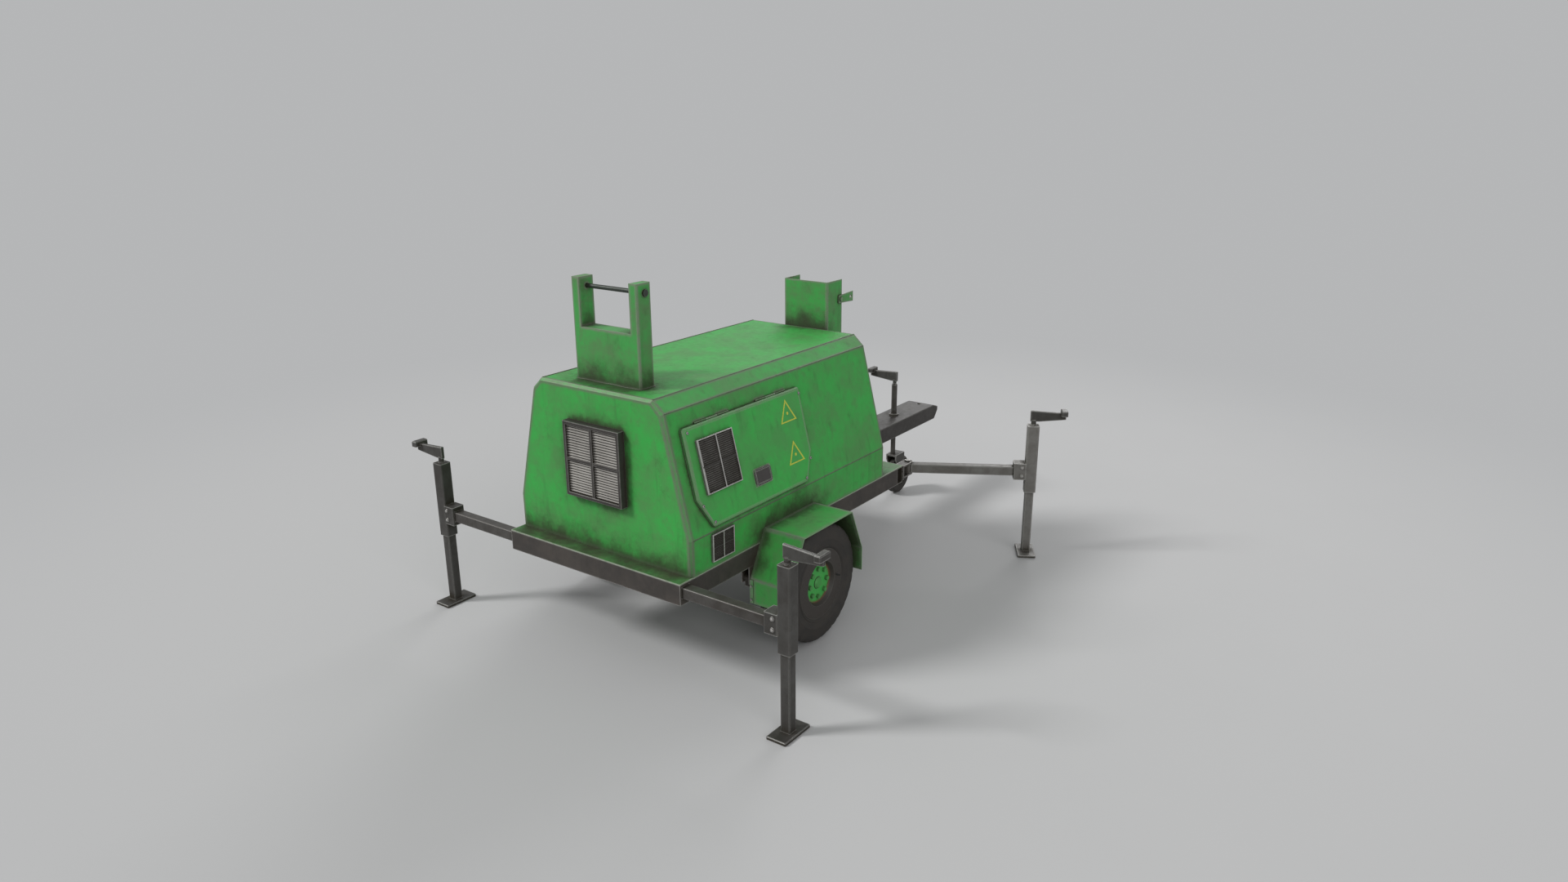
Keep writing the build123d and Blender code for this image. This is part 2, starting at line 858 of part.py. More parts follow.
def door_outline(inset):
    """Outline of a side door in the sloping plane."""
    with BuildLine() as outline:
        Polyline(
            (door_rear + inset, door_top - inset),
            (door_rear + inset, door_low + door_chamfer_s),
            (door_rear + door_chamfer_x, door_low + inset),
            (door_front - door_chamfer_x, door_low + inset),
            (door_front - inset, door_low + door_chamfer_s),
            (door_front - inset, door_top - inset),
            close=True,
        )
    make_face(outline.edges())


def hinge_point(x):
    """Centre of the door hinge line at a place along the side."""
    return side_plane.from_local_coords((x, hinge_s, hinge_offset))


knuckle_length = 90
knuckle_step = 92
hinge_centres = [door_rear + 250, door_front - 250]


def canopy_block(inset):
    """Solid block of the canopy with bevelled end edges, moved in by the sheet's thickness."""
    with BuildPart() as block:
        with BuildSketch(Plane.YZ.offset(canopy_rear + inset)):
            canopy_section(inset)
        extrude(amount=canopy_front - canopy_rear - 2 * inset)
        ends = block.faces().filter_by(Axis.X).edges()
        chamfer(ends.filter_by(lambda edge: edge.center().Z > deck_top + 1), corner_bevel)
    return block


with BuildPart() as canopy_shell:
    add(canopy_block(0).part)
    add(canopy_block(skin).part, mode=Mode.SUBTRACT)
    # door openings, rear grille opening and lower side openings
    with BuildSketch(side_plane.offset(-40)):
        door_outline(34)
    opening = extrude(amount=60, mode=Mode.SUBTRACT)
    mirror(opening, about=Plane.XZ, mode=Mode.SUBTRACT)
    with BuildSketch(Plane.YZ.offset(canopy_rear - 1)):
        with Locations((0, (rear_grille_low + rear_grille_high) / 2)):
            Rectangle(2 * rear_grille_half - 40, rear_grille_high - rear_grille_low - 40)
    extrude(amount=20, mode=Mode.SUBTRACT)
    with BuildSketch(Plane.XZ.offset(-half_width - 1)):
        with Locations((lower_grille_x, lower_grille_z)):
            Rectangle(lower_grille_w - 30, lower_grille_h - 30)
    extrude(amount=2 * half_width + 2, mode=Mode.SUBTRACT)
    # outlet of the silencer's tail pipe in the front wall
    with Locations((canopy_front, silencer_y, silencer_z)):
        Cylinder(tail_r + 6, 40, rotation=(0, 90, 0), mode=Mode.SUBTRACT)
    # canopy halves of the door hinges
    for centre in hinge_centres:
        for x in (centre - knuckle_step, centre + knuckle_step):
            with BuildSketch(
                Plane(origin=hinge_point(x - knuckle_length / 2), x_dir=(0, 1, 0), z_dir=(1, 0, 0))
            ):
                Circle(hinge_r)
            knuckle = extrude(amount=knuckle_length)
            with BuildSketch(side_plane.offset(-2)):
                with Locations((x, hinge_s)):
                    Rectangle(knuckle_length, hinge_web)
            web = extrude(amount=hinge_offset)
            mirror(knuckle, about=Plane.XZ)
            mirror(web, about=Plane.XZ)
            with BuildSketch(
                Plane(origin=hinge_point(x - knuckle_length / 2), x_dir=(0, 1, 0), z_dir=(1, 0, 0))
            ):
                Circle(hinge_pin_r + pin_gap)
            bore = extrude(amount=knuckle_length, mode=Mode.SUBTRACT)
            mirror(bore, about=Plane.XZ, mode=Mode.SUBTRACT)
finish(canopy_shell, "canopy_shell")

pin_length = 2 * knuckle_step + knuckle_length

with BuildPart() as door_hinge_pins:
    for centre in hinge_centres:
        with BuildSketch(
            Plane(origin=hinge_point(centre - pin_length / 2), x_dir=(0, 1, 0), z_dir=(1, 0, 0))
        ):
            Circle(hinge_pin_r)
        extrude(amount=pin_length)
    mirror(about=Plane.XZ)
finish(door_hinge_pins, "door_hinge_pins")

door_face = door_gap + door_depth
louvre_gauge = 3
paddle_w = latch_w - 2 * latch_border - 3
paddle_h = latch_h - 2 * latch_border - 3
paddle_pin_s = latch_s + paddle_h / 2 - paddle_pin_r

with BuildPart() as door_right:
    with BuildSketch(side_plane.offset(door_gap)) as door_sketch:
        door_outline(0)
        fillet(door_sketch.vertices(), door_corner)
    extrude(amount=door_depth)
    door_front_face = door_right.faces().sort_by(Axis(side_plane.origin, side_plane.z_dir))[-1]
    chamfer(door_front_face.edges(), door_bevel)
    with BuildSketch(side_plane.offset(door_gap)):
        door_outline(door_flange)
    extrude(amount=door_depth - door_skin, mode=Mode.SUBTRACT)
    with BuildSketch(side_plane.offset(door_gap)):
        with Locations((grille_x, grille_s)):
            Rectangle(grille_w - 30, grille_h - 30)
    extrude(amount=door_depth, mode=Mode.SUBTRACT)
    # raised border round the paddle of the latch
    with BuildSketch(side_plane.offset(door_face)):
        with Locations((latch_x, latch_s)):
            Rectangle(latch_w, latch_h)
            Rectangle(latch_w - 2 * latch_border, latch_h - 2 * latch_border, mode=Mode.SUBTRACT)
    extrude(amount=latch_height)
    with BuildSketch(
        Plane(
            origin=side_plane.from_local_coords(
                (latch_x - paddle_w / 2 - 6, paddle_pin_s, door_face + paddle_pin_offset)
            ),
            x_dir=(0, 1, 0),
            z_dir=(1, 0, 0),
        )
    ):
        Circle(paddle_pin_r + pin_gap)
    extrude(amount=paddle_w + 12, mode=Mode.SUBTRACT)
    # door halves of the hinges
    for centre in hinge_centres:
        start = centre - knuckle_length / 2
        with BuildSketch(Plane(origin=hinge_point(start), x_dir=(0, 1, 0), z_dir=(1, 0, 0))):
            Circle(hinge_r)
        extrude(amount=knuckle_length)
        with BuildSketch(side_plane.offset(hinge_offset - hinge_web / 2)):
            with Locations((centre, (door_top - hinge_root + hinge_s) / 2)):
                Rectangle(knuckle_length, hinge_s - door_top + hinge_root)
        extrude(amount=hinge_web)
        with BuildSketch(Plane(origin=hinge_point(start), x_dir=(0, 1, 0), z_dir=(1, 0, 0))):
            Circle(hinge_pin_r + pin_gap)
        extrude(amount=knuckle_length, mode=Mode.SUBTRACT)
finish(door_right, "door_right")
finish(twin(door_right), "door_left")


def grille(plane, width, height, depth, border, slats, bar):
    """Framed grille with a mullion, a divider and sloping slats, on a plane."""
    clear_w = width - 2 * border
    clear_h = height - 2 * border
    pitch = clear_h / slats
    slat_depth = depth * 0.45
    with BuildPart() as frame:
        with BuildSketch(plane):
            hollow_rectangle(width, height, border)
        extrude(amount=depth)
        with BuildSketch(plane.offset(depth * 0.35)):
            Rectangle(bar, clear_h)
            Rectangle(clear_w, bar)
        extrude(amount=depth * 0.5)
        # slats lean outwards and down
        slat_plane = Plane(
            origin=plane.from_local_coords((-clear_w / 2, 0, depth * 0.3)),
            x_dir=plane.z_dir,
            z_dir=plane.x_dir,
        )
        with BuildSketch(slat_plane):
            for i in range(slats):
                s = -clear_h / 2 + (i + 0.5) * pitch
                with BuildLine():
                    Polyline(
                        (0, s + pitch * 0.2),
                        (0, s + pitch * 0.2 + louvre_gauge),
                        (slat_depth, s - pitch * 0.35 + louvre_gauge),
                        (slat_depth, s - pitch * 0.35),
                        close=True,
                    )
                make_face()
        extrude(amount=clear_w)
    return frame


door_grille_plane = Plane(
    origin=side_plane.from_local_coords((grille_x, grille_s, door_face)),
    x_dir=(1, 0, 0),
    z_dir=side_plane.z_dir,
)
door_grille_right = grille(door_grille_plane, grille_w, grille_h, 14, 18, 14, 10)
finish(door_grille_right, "door_grille_right")
finish(twin(door_grille_right), "door_grille_left")

with BuildPart() as latch_paddle_right:
    with BuildSketch(side_plane.offset(door_face + paddle_pin_offset - paddle_gauge / 2)):
        with Locations((latch_x, latch_s)):
            Rectangle(paddle_w, paddle_h)
    extrude(amount=paddle_gauge)
    with BuildSketch(
        Plane(
            origin=side_plane.from_local_coords(
                (latch_x - paddle_w / 2 - 5, paddle_pin_s, door_face + paddle_pin_offset)
            ),
            x_dir=(0, 1, 0),
            z_dir=(1, 0, 0),
        )
    ):
        Circle(paddle_pin_r)
    extrude(amount=paddle_w + 10)
finish(latch_paddle_right, "latch_paddle_right")
finish(twin(latch_paddle_right), "latch_paddle_left")

rear_grille_plane = Plane(
    origin=(canopy_rear, 0, (rear_grille_low + rear_grille_high) / 2),
    x_dir=(0, -1, 0),
    z_dir=(-1, 0, 0),
)
rear_grille = grille(
    rear_grille_plane,
    2 * rear_grille_half,
    rear_grille_high - rear_grille_low,
    rear_grille_depth,
    16,
    18,
    14,
)
finish(rear_grille, "rear_grille")

lower_grille_plane = Plane(
    origin=(lower_grille_x, -half_width, lower_grille_z), x_dir=(1, 0, 0), z_dir=(0, -1, 0)
)
lower_grille = grille(lower_grille_plane, lower_grille_w, lower_grille_h, lower_grille_depth, 13, 8, 9)
with BuildPart() as lower_grilles:
    add(lower_grille.part)
    mirror(about=Plane.XZ)
finish(lower_grilles, "lower_grilles")

# ---------------------------------------------------------------------------
# mast supports
# ---------------------------------------------------------------------------
window_half = mast_half - mast_post
mast_mid = mast_rear + mast_depth / 2

with BuildPart() as rear_mast_bracket:
    with BuildSketch(Plane.YZ.offset(mast_rear)):
        with BuildLine():
            Polyline(
                (-mast_half, roof_z),
                (-mast_half, mast_top),
                (-window_half, mast_top),
                (-window_half, mast_sill),
                (window_half, mast_sill),
                (window_half, mast_top),
                (mast_half, mast_top),
                (mast_half, roof_z),
                close=True,
            )
        make_face()
    extrude(amount=mast_depth)
    upright_edges = rear_mast_bracket.edges().filter_by(Axis.Z)
    chamfer(upright_edges.group_by(lambda edge: abs(edge.center().Y))[-1], mast_bevel)
    # the bracket is folded sheet, open underneath
    with BuildSketch(Plane.XY.offset(roof_z)):
        with Locations((mast_mid, 0)):
            Rectangle(mast_depth - 2 * mast_wall, 2 * (mast_half - mast_wall))
    extrude(amount=mast_sill - roof_z - mast_wall, mode=Mode.SUBTRACT)
    with BuildSketch(Plane.XY.offset(mast_sill - mast_wall)):
        for side in (-1, 1):
            with Locations((mast_mid, side * (mast_half - mast_post / 2))):
                Rectangle(mast_depth - 2 * mast_wall, mast_post - 2 * mast_wall)
    extrude(amount=mast_top - mast_sill, mode=Mode.SUBTRACT)
    with Locations((mast_pin_x, 0, mast_pin_z)):
        Cylinder(mast_pin_r + slide_gap, 2 * mast_half, rotation=(90, 0, 0), mode=Mode.SUBTRACT)
finish(rear_mast_bracket, "rear_mast_bracket")

with BuildPart() as mast_pivot_pin:
    with Locations((mast_pin_x, 0, mast_pin_z)):
        Cylinder(mast_pin_r, 2 * mast_half + 4, rotation=(90, 0, 0))
    for side in (-1, 1):
        with Locations((mast_pin_x, side * (mast_half + 6), mast_pin_z)):
            Cylinder(mast_pin_r + 6, 8, rotation=(90, 0, 0))
finish(mast_pivot_pin, "mast_pivot_pin")

keeper_y = cradle_half + 1

with BuildPart() as front_mast_cradle:
    with BuildSketch(Plane.XY.offset(deck_top)) as cradle_sketch:
        with Locations(((cradle_x + cradle_front) / 2, 0)):
            Rectangle(cradle_front - cradle_x, 2 * cradle_half)
        fillet(cradle_sketch.vertices().group_by(Axis.X)[0], cradle_bend)
        with Locations(((cradle_x + cradle_front) / 2 + mast_wall, 0)):
            Rectangle(cradle_front - cradle_x, 2 * (cradle_half - mast_wall), mode=Mode.SUBTRACT)
    extrude(amount=cradle_top - deck_top)
    # foot plate on the deck
    with Locations(((cradle_x + cradle_front) / 2 + 4, 0, deck_top + 5)):
        Box(cradle_front - cradle_x + 30, 2 * cradle_half + 60, 10)
    # stud that carries the keeper plate, with its head outside
    with Locations((keeper_x, -cradle_half, keeper_z)):
        Cylinder(keeper_r, 4 + 2 * (keeper_gauge + 2), rotation=(90, 0, 0))
    with Locations((keeper_x, -keeper_y - keeper_gauge - 5, keeper_z)):
        Cylinder(keeper_r + 6, 8, rotation=(90, 0, 0))
finish(front_mast_cradle, "front_mast_cradle")

with BuildPart() as cradle_keeper:
    with BuildSketch(Plane.XZ.offset(keeper_y)):
        with BuildLine():
            Polyline(
                (keeper_x - 22, keeper_z - 24),
                (keeper_front, keeper_z - keeper_half_height),
                (keeper_front, keeper_z + keeper_half_height),
                (keeper_x - 22, keeper_z + 24),
                close=True,
            )
        make_face()
        with Locations((keeper_x, keeper_z)):
            Circle(keeper_r + pin_gap, mode=Mode.SUBTRACT)
        with Locations((keeper_front - 26, keeper_z)):
            Circle(10, mode=Mode.SUBTRACT)
    extrude(amount=keeper_gauge - 0.5)
finish(cradle_keeper, "cradle_keeper")

# ---------------------------------------------------------------------------
# engine, alternator and services
# ---------------------------------------------------------------------------
engine_back = engine_x - engine_length / 2
engine_front = engine_x + engine_length / 2
sump_z = 735
block_top = 1010
head_top = 1105

with BuildPart() as engine_block:
    with Locations((engine_x, 0, (sump_z + 90 + block_top) / 2)):
        Box(engine_length, engine_width, block_top - sump_z - 90)
    with Locations((engine_x, 0, sump_z + 45)):
        Box(engine_length - 60, engine_width - 60, 90)
    with Locations((engine_x, 0, (block_top + head_top) / 2)):
        Box(engine_length - 50, engine_width - 70, head_top - block_top)
    # intake and exhaust manifolds beside the head
    with Locations((engine_x, -engine_width / 2 + 10, block_top + 20)):
        Box(engine_length - 90, 50, 40)
    with Locations((engine_x, engine_width / 2 - 10, block_top + 20)):
        Box(engine_length - 90, 50, 40)
    for x in (engine_back + 60, engine_front - 60):
        with Locations((x, 0, sump_z + 100)):
            Box(50, engine_width + 120, 16)
    # bore for the shaft of the cooling fan
    with Locations((engine_front - 20, 0, shaft_z)):
        Cylinder(14 + pin_gap, 42, rotation=(0, 90, 0), mode=Mode.SUBTRACT)
finish(engine_block, "engine_block")

mount_y = engine_width / 2 + 35
mount_top = sump_z + 92

with BuildPart() as engine_mounts:
    for x in (engine_back + 60, engine_front - 60):
        with BuildSketch(Plane.XY.offset(deck_top)):
            with Locations((x, -mount_y)):
                Circle(28)
        extrude(amount=mount_top - deck_top)
    mirror(about=Plane.XZ)
finish(engine_mounts, "engine_mounts")

alternator_mid = engine_back - alternator_length / 2

with BuildPart() as alternator:
    with Locations((alternator_mid, 0, shaft_z)):
        Cylinder(alternator_r, alternator_length, rotation=(0, 90, 0))
    with Locations((alternator_mid + 90, 0, shaft_z)):
        Cylinder(alternator_r + 14, 40, rotation=(0, 90, 0))
    with Locations((alternator_mid, 0, (deck_top + shaft_z - alternator_r + 40) / 2)):
        Box(220, 240, shaft_z - alternator_r + 40 - deck_top)
    with Locations((alternator_mid - 60, 0, shaft_z + alternator_r + 30)):
        Box(200, 180, 80)
finish(alternator, "alternator")

fan_x = engine_front + 45
fan_r = 190
blade_count = 6

with BuildPart() as cooling_fan:
    with Locations((fan_x - 20, 0, shaft_z)):
        Cylinder(14, 80, rotation=(0, 90, 0))
    with Locations((fan_x, 0, shaft_z)):
        Cylinder(45, 30, rotation=(0, 90, 0))
    with BuildSketch(Plane.YZ.offset(fan_x - 3)):
        with Locations((0, shaft_z)):
            with PolarLocations(fan_r / 2 + 15, blade_count):
                Rectangle(fan_r - 30, 62)
    extrude(amount=6)
finish(cooling_fan, "cooling_fan")

radiator_x = fan_x + 80

with BuildPart() as radiator:
    with Locations((radiator_x, 0, deck_top + 290)):
        Box(60, 560, 580)
    # header tanks above and below the core
    with Locations((radiator_x, 0, deck_top + 600)):
        Box(90, 580, 50)
    with Locations((radiator_x, 0, deck_top + 25)):
        Box(90, 580, 50)
    with Locations((radiator_x, 0, deck_top + 632)):
        Cylinder(28, 20)
finish(radiator, "radiator")

with BuildPart() as fuel_tank:
    with Locations((-710, 0, deck_top + 130)):
        Box(210, 900, 260)
    fillet(fuel_tank.edges().filter_by(Axis.Y), 20)
    with Locations((-710, -380, deck_top + 270)):
        Cylinder(30, 30)
finish(fuel_tank, "fuel_tank")

with BuildPart() as battery:
    with Locations((820, -430, deck_top + 95)):
        Box(175, 260, 190)
    with Locations((820, -500, deck_top + 198), (820, -360, deck_top + 198)):
        Cylinder(9, 20)
finish(battery, "battery")

silencer_x = 100
silencer_length = 480
manifold_y = engine_width / 2 + 15
manifold_z = block_top + 20

with BuildPart() as silencer:
    with Locations((silencer_x, silencer_y, silencer_z)):
        Cylinder(85, silencer_length, rotation=(0, 90, 0))
        Cylinder(82, silencer_length - 6, rotation=(0, 90, 0), mode=Mode.SUBTRACT)
    # inlet pipe up from the exhaust manifold
    with Locations((silencer_x - 60, silencer_y, (manifold_z + silencer_z - 84) / 2)):
        Cylinder(tail_r, silencer_z - 84 - manifold_z)
    with BuildSketch(Plane.XZ.offset(-silencer_y)):
        with Locations((silencer_x - 60, manifold_z)):
            Circle(tail_r - 4)
    extrude(amount=silencer_y - manifold_y)
    # tail pipe through the front wall
    tail_start = silencer_x + silencer_length / 2 - 2
    with BuildSketch(Plane.YZ.offset(tail_start)):
        with Locations((silencer_y, silencer_z)):
            Circle(tail_r)
            Circle(tail_r - 3, mode=Mode.SUBTRACT)
    extrude(amount=canopy_front + 12 - tail_start)
finish(silencer, "silencer")

filter_y = 300

with BuildPart() as air_filter:
    with Locations((engine_x, -filter_y, 1180)):
        Cylinder(80, 260, rotation=(0, 90, 0))
    with Locations((engine_x, -filter_y, 1075)):
        Box(60, 60, 90)
    with Locations((engine_x, -(manifold_y + filter_y) / 2, manifold_z)):
        Box(60, filter_y - manifold_y, 36)
finish(air_filter, "air_filter")

with BuildPart() as control_box:
    with Locations((-430, -430, 1120)):
        Box(300, 120, 300)
        Box(294, 114, 294, mode=Mode.SUBTRACT)
    with Locations((-540, -430, (deck_top + 970) / 2), (-320, -430, (deck_top + 970) / 2)):
        Box(40, 40, 970 - deck_top)
finish(control_box, "control_box")
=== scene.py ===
import math

import bmesh
import bpy
from mathutils import Matrix, Vector


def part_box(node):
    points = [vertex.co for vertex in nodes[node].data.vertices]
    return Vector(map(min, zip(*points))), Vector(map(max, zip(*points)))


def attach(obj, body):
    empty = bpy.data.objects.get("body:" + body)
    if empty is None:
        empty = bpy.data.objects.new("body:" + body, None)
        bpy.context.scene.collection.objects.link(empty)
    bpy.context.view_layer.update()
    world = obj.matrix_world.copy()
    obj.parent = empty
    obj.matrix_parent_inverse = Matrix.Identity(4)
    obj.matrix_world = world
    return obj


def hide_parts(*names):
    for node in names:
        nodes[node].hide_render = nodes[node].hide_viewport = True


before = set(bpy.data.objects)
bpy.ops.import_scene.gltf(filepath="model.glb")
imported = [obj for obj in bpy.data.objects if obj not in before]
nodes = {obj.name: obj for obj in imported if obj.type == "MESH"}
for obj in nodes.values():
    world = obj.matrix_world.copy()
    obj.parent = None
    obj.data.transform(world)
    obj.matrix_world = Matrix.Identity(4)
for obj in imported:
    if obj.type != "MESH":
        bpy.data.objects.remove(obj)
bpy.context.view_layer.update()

# ---------------------------------------------------------------------------
# Towable diesel generator: looks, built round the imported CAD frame. Metres.
# ---------------------------------------------------------------------------
MM = 0.001
SIDES = {"right": -1, "left": 1}
LEGS = ("rear_right", "rear_left", "front_right", "front_left")


def middle(node):
    """Centre of a CAD node's box."""
    low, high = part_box(node)
    return (low + high) / 2


axle_x = middle("axle_beam").x
wheel_z = middle("axle_beam").z


# ---------------------------------------------------------------------------
# material graphs
# ---------------------------------------------------------------------------
class Graph:
    """A material's node graph, with a short method for each kind of step."""

    def __init__(self, name):
        self.material = bpy.data.materials.new(name)
        self.material.use_nodes = True
        self.tree = self.material.node_tree
        self.tree.nodes.clear()
        self.place = self.new("ShaderNodeTexCoord").outputs["Object"]

    def new(self, kind, **settings):
        node = self.tree.nodes.new(kind)
        for key, value in settings.items():
            setattr(node, key, value)
        return node

    def put(self, socket, value):
        """Link a socket to another one, or set its value."""
        if isinstance(value, bpy.types.NodeSocket):
            self.tree.links.new(value, socket)
        elif isinstance(value, tuple) and len(value) == 3 and socket.type == "RGBA":
            socket.default_value = (*value, 1)
        else:
            socket.default_value = value

    def stretched(self, scale):
        """The place, stretched along an axis by a small scale."""
        node = self.new("ShaderNodeMapping")
        self.put(node.inputs["Vector"], self.place)
        self.put(node.inputs["Scale"], Vector(scale))
        return node.outputs["Vector"]

    def noise(self, scale, detail=4.0, roughness=0.55, place=None):
        node = self.new("ShaderNodeTexNoise")
        self.put(node.inputs["Vector"], place or self.place)
        self.put(node.inputs["Scale"], scale)
        self.put(node.inputs["Detail"], detail)
        self.put(node.inputs["Roughness"], roughness)
        return node.outputs["Fac"]

    def step(self, value, low, high, start=0.0, end=1.0):
        """A smooth step of a value, from start at low to end at high."""
        node = self.new("ShaderNodeMapRange", interpolation_type="SMOOTHSTEP")
        self.put(node.inputs["Value"], value)
        ends = {"From Min": low, "From Max": high, "To Min": start, "To Max": end}
        for name, number in ends.items():
            self.put(node.inputs[name], number)
        return node.outputs["Result"]

    def calc(self, operation, first, second=0.0, third=0.0):
        node = self.new("ShaderNodeMath", operation=operation)
        for socket, value in zip(node.inputs, (first, second, third)):
            self.put(socket, value)
        return node.outputs[0]

    def mix(self, first, second, share):
        node = self.new("ShaderNodeMix", data_type="RGBA")
        self.put(node.inputs[0], share)
        self.put(node.inputs[6], first)
        self.put(node.inputs[7], second)
        return node.outputs[2]

    def edges(self, radius):
        """How far the normal of a rounded edge turns from the face's own: zero away from edges."""
        rounded = self.new("ShaderNodeBevel", samples=6)
        self.put(rounded.inputs["Radius"], radius)
        flat = self.new("ShaderNodeNewGeometry").outputs["Normal"]
        dot = self.new("ShaderNodeVectorMath", operation="DOT_PRODUCT")
        self.put(dot.inputs[0], rounded.outputs[0])
        self.put(dot.inputs[1], flat)
        return self.calc("SUBTRACT", 1.0, dot.outputs["Value"])

    def openness(self, distance):
        """One in the open, and less in a corner."""
        node = self.new("ShaderNodeAmbientOcclusion", samples=6)
        self.put(node.inputs["Distance"], distance)
        return node.outputs["AO"]

    def bumps(self, height, strength, distance):
        node = self.new("ShaderNodeBump")
        self.put(node.inputs["Height"], height)
        self.put(node.inputs["Strength"], strength)
        self.put(node.inputs["Distance"], distance)
        return node.outputs["Normal"]

    def finish(self, colour, roughness, metallic=0.0, normal=None, gloss=0.5):
        shader = self.new("ShaderNodeBsdfPrincipled")
        self.put(shader.inputs["Base Color"], colour)
        self.put(shader.inputs["Roughness"], roughness)
        self.put(shader.inputs["Metallic"], metallic)
        self.put(shader.inputs["Specular IOR Level"], gloss)
        if normal is not None:
            self.put(shader.inputs["Normal"], normal)
        output = self.new("ShaderNodeOutputMaterial")
        self.put(output.inputs["Surface"], shader.outputs[0])
        return self.material


# dark brown laid into corners and recesses: painted shade and grime together
SHADE_AND_GRIME = (0.026, 0.021, 0.013)
RUST = (0.10, 0.045, 0.018)
BARE = (0.36, 0.35, 0.33)


def shaded(colour, factor, lift=0.0):
    """A colour made darker or lighter, and no more than white."""
    return tuple(min(1.0, factor * part + lift) for part in colour)


def worn(name, base, mottle, edge, radius=0.006, shade_and_grime=1.0, reach=0.10, rough=0.5,
         metallic=0.0, edge_metallic=0.3, rust=0.2, line=None):
    """Worn surface: mottled colour, streaks, dirt in the corners, wear along the edges, rust specks.

    The edge colour fills a broad band along each edge, and the line colour its very corner.
    Radius is how far the wear reaches from an edge, and reach how far the painted shade and grime
    spread from a corner.
    """
    g = Graph(name)
    blotches = g.step(g.noise(4.5, 6.0, 0.68), 0.36, 0.66)
    patches = g.step(g.noise(15.0, 5.0, 0.68), 0.40, 0.68)
    colour = g.mix(base, mottle, g.calc("MAXIMUM", blotches, g.calc("MULTIPLY", patches, 0.75)))
    # faint streaks that run down, and fine scuffs
    streaks = g.step(g.noise(22.0, 3.0, 0.5, g.stretched((1.0, 1.0, 0.09))), 0.56, 0.74)
    colour = g.mix(colour, shaded(mottle, 0.55), g.calc("MULTIPLY", streaks, 0.35))
    scuffs = g.step(g.noise(90.0, 3.0, 0.7), 0.64, 0.74)
    colour = g.mix(colour, shaded(mottle, 1.5, 0.02), g.calc("MULTIPLY", scuffs, 0.35))
    # painted shade and grime: darker in blotches where surfaces meet and the occlusion is low
    opening = g.openness(reach)
    shade_and_dirt_edge = g.calc("MULTIPLY_ADD", g.noise(8.0, 7.0, 0.72), 0.85, 0.42)
    shade_and_dirt = g.step(g.calc("DIVIDE", opening, shade_and_dirt_edge), 0.70, 1.14, 1.0, 0.0)
    colour = g.mix(colour, SHADE_AND_GRIME, g.calc("MULTIPLY", shade_and_dirt, 0.90 * shade_and_grime))
    specks = g.step(g.noise(55.0, 5.0, 0.7), 0.66, 0.72)
    colour = g.mix(colour, RUST, g.calc("MULTIPLY", specks, rust))
    # paint rubbed off along the edges, broken up by noise
    near_edge = g.edges(radius)
    broken = g.step(g.noise(30.0, 6.0, 0.75), 0.30, 0.56)
    bare = g.step(opening, 0.45, 0.72)
    patchy = g.calc("MULTIPLY_ADD", broken, 0.50, 0.50)
    rubbed = g.calc("MULTIPLY", g.calc("MULTIPLY", g.step(near_edge, 0.001, 0.022), patchy), bare)
    colour = g.mix(colour, edge, rubbed)
    if line is not None:
        patchy = g.calc("MULTIPLY_ADD", broken, 0.7, 0.3)
        bright = g.calc("MULTIPLY", g.step(near_edge, 0.10, 0.20), patchy)
        rubbed = g.calc("MULTIPLY", bright, bare)
        colour = g.mix(colour, line, rubbed)
    shine = g.calc("MULTIPLY_ADD", g.noise(30.0, 4.0), 0.26, rough - 0.13)
    shine = g.calc("MULTIPLY_ADD", shade_and_dirt, 0.25, shine)
    metal = g.calc("MULTIPLY_ADD", rubbed, edge_metallic - metallic, metallic)
    height = g.calc("MULTIPLY_ADD", g.noise(260.0, 2.0), 0.35, g.noise(9.0, 3.0))
    height = g.calc("SUBTRACT", height, g.calc("MULTIPLY", rubbed, 0.6))
    return g.finish(colour, shine, metal, g.bumps(height, 0.22, 0.002), gloss=0.3)


def wheel_finish(name, radius):
    """Dark wheel dish with a green centre disc out to a radius about the axle."""
    g = Graph(name)
    split = g.new("ShaderNodeSeparateXYZ")
    g.put(split.inputs[0], g.place)
    own_axle = nodes["rim_right"].matrix_world.inverted() @ middle("rim_right")
    across = g.calc("SUBTRACT", split.outputs["X"], own_axle.x)
    up = g.calc("SUBTRACT", split.outputs["Z"], own_axle.z)
    out = g.calc("SQRT", g.calc("MULTIPLY_ADD", across, across, g.calc("MULTIPLY", up, up)))
    opening = g.openness(0.012)
    disc = g.mix(DISC_GREEN, GREEN, g.step(g.noise(24.0, 5.0, 0.6), 0.4, 0.65))
    colour = g.mix(disc, WHEEL_DARK, g.step(out, radius - 0.003, radius + 0.001))
    # painted shade and grime in the recesses, such as the dark rings round the nuts
    shade_and_dirt_edge = g.calc("MULTIPLY_ADD", g.noise(30.0, 5.0, 0.65), 0.30, 0.40)
    shade_and_dirt = g.step(g.calc("DIVIDE", opening, shade_and_dirt_edge), 0.72, 1.12, 1.0, 0.0)
    colour = g.mix(colour, SHADE_AND_GRIME, g.calc("MULTIPLY", shade_and_dirt, 0.85))
    # a rusty ring where the disc meets the dish
    inside = g.step(out, radius - 0.016, radius - 0.002)
    outside = g.step(out, radius + 0.006, radius + 0.001)
    ring = g.calc("MULTIPLY", inside, outside)
    patchy = g.step(g.noise(40.0, 4.0), 0.25, 0.55, 0.3, 0.9)
    colour = g.mix(colour, RUST, g.calc("MULTIPLY", ring, patchy))
    rubbed = g.calc("MULTIPLY", g.step(g.edges(0.003), 0.01, 0.12), g.step(opening, 0.5, 0.8))
    colour = g.mix(colour, (0.16, 0.17, 0.14), g.calc("MULTIPLY", rubbed, 0.7))
    height = g.noise(160.0, 3.0)
    roughness = g.calc("MULTIPLY_ADD", height, 0.2, 0.45)
    return g.finish(colour, roughness, 0.0, g.bumps(height, 0.2, 0.001))


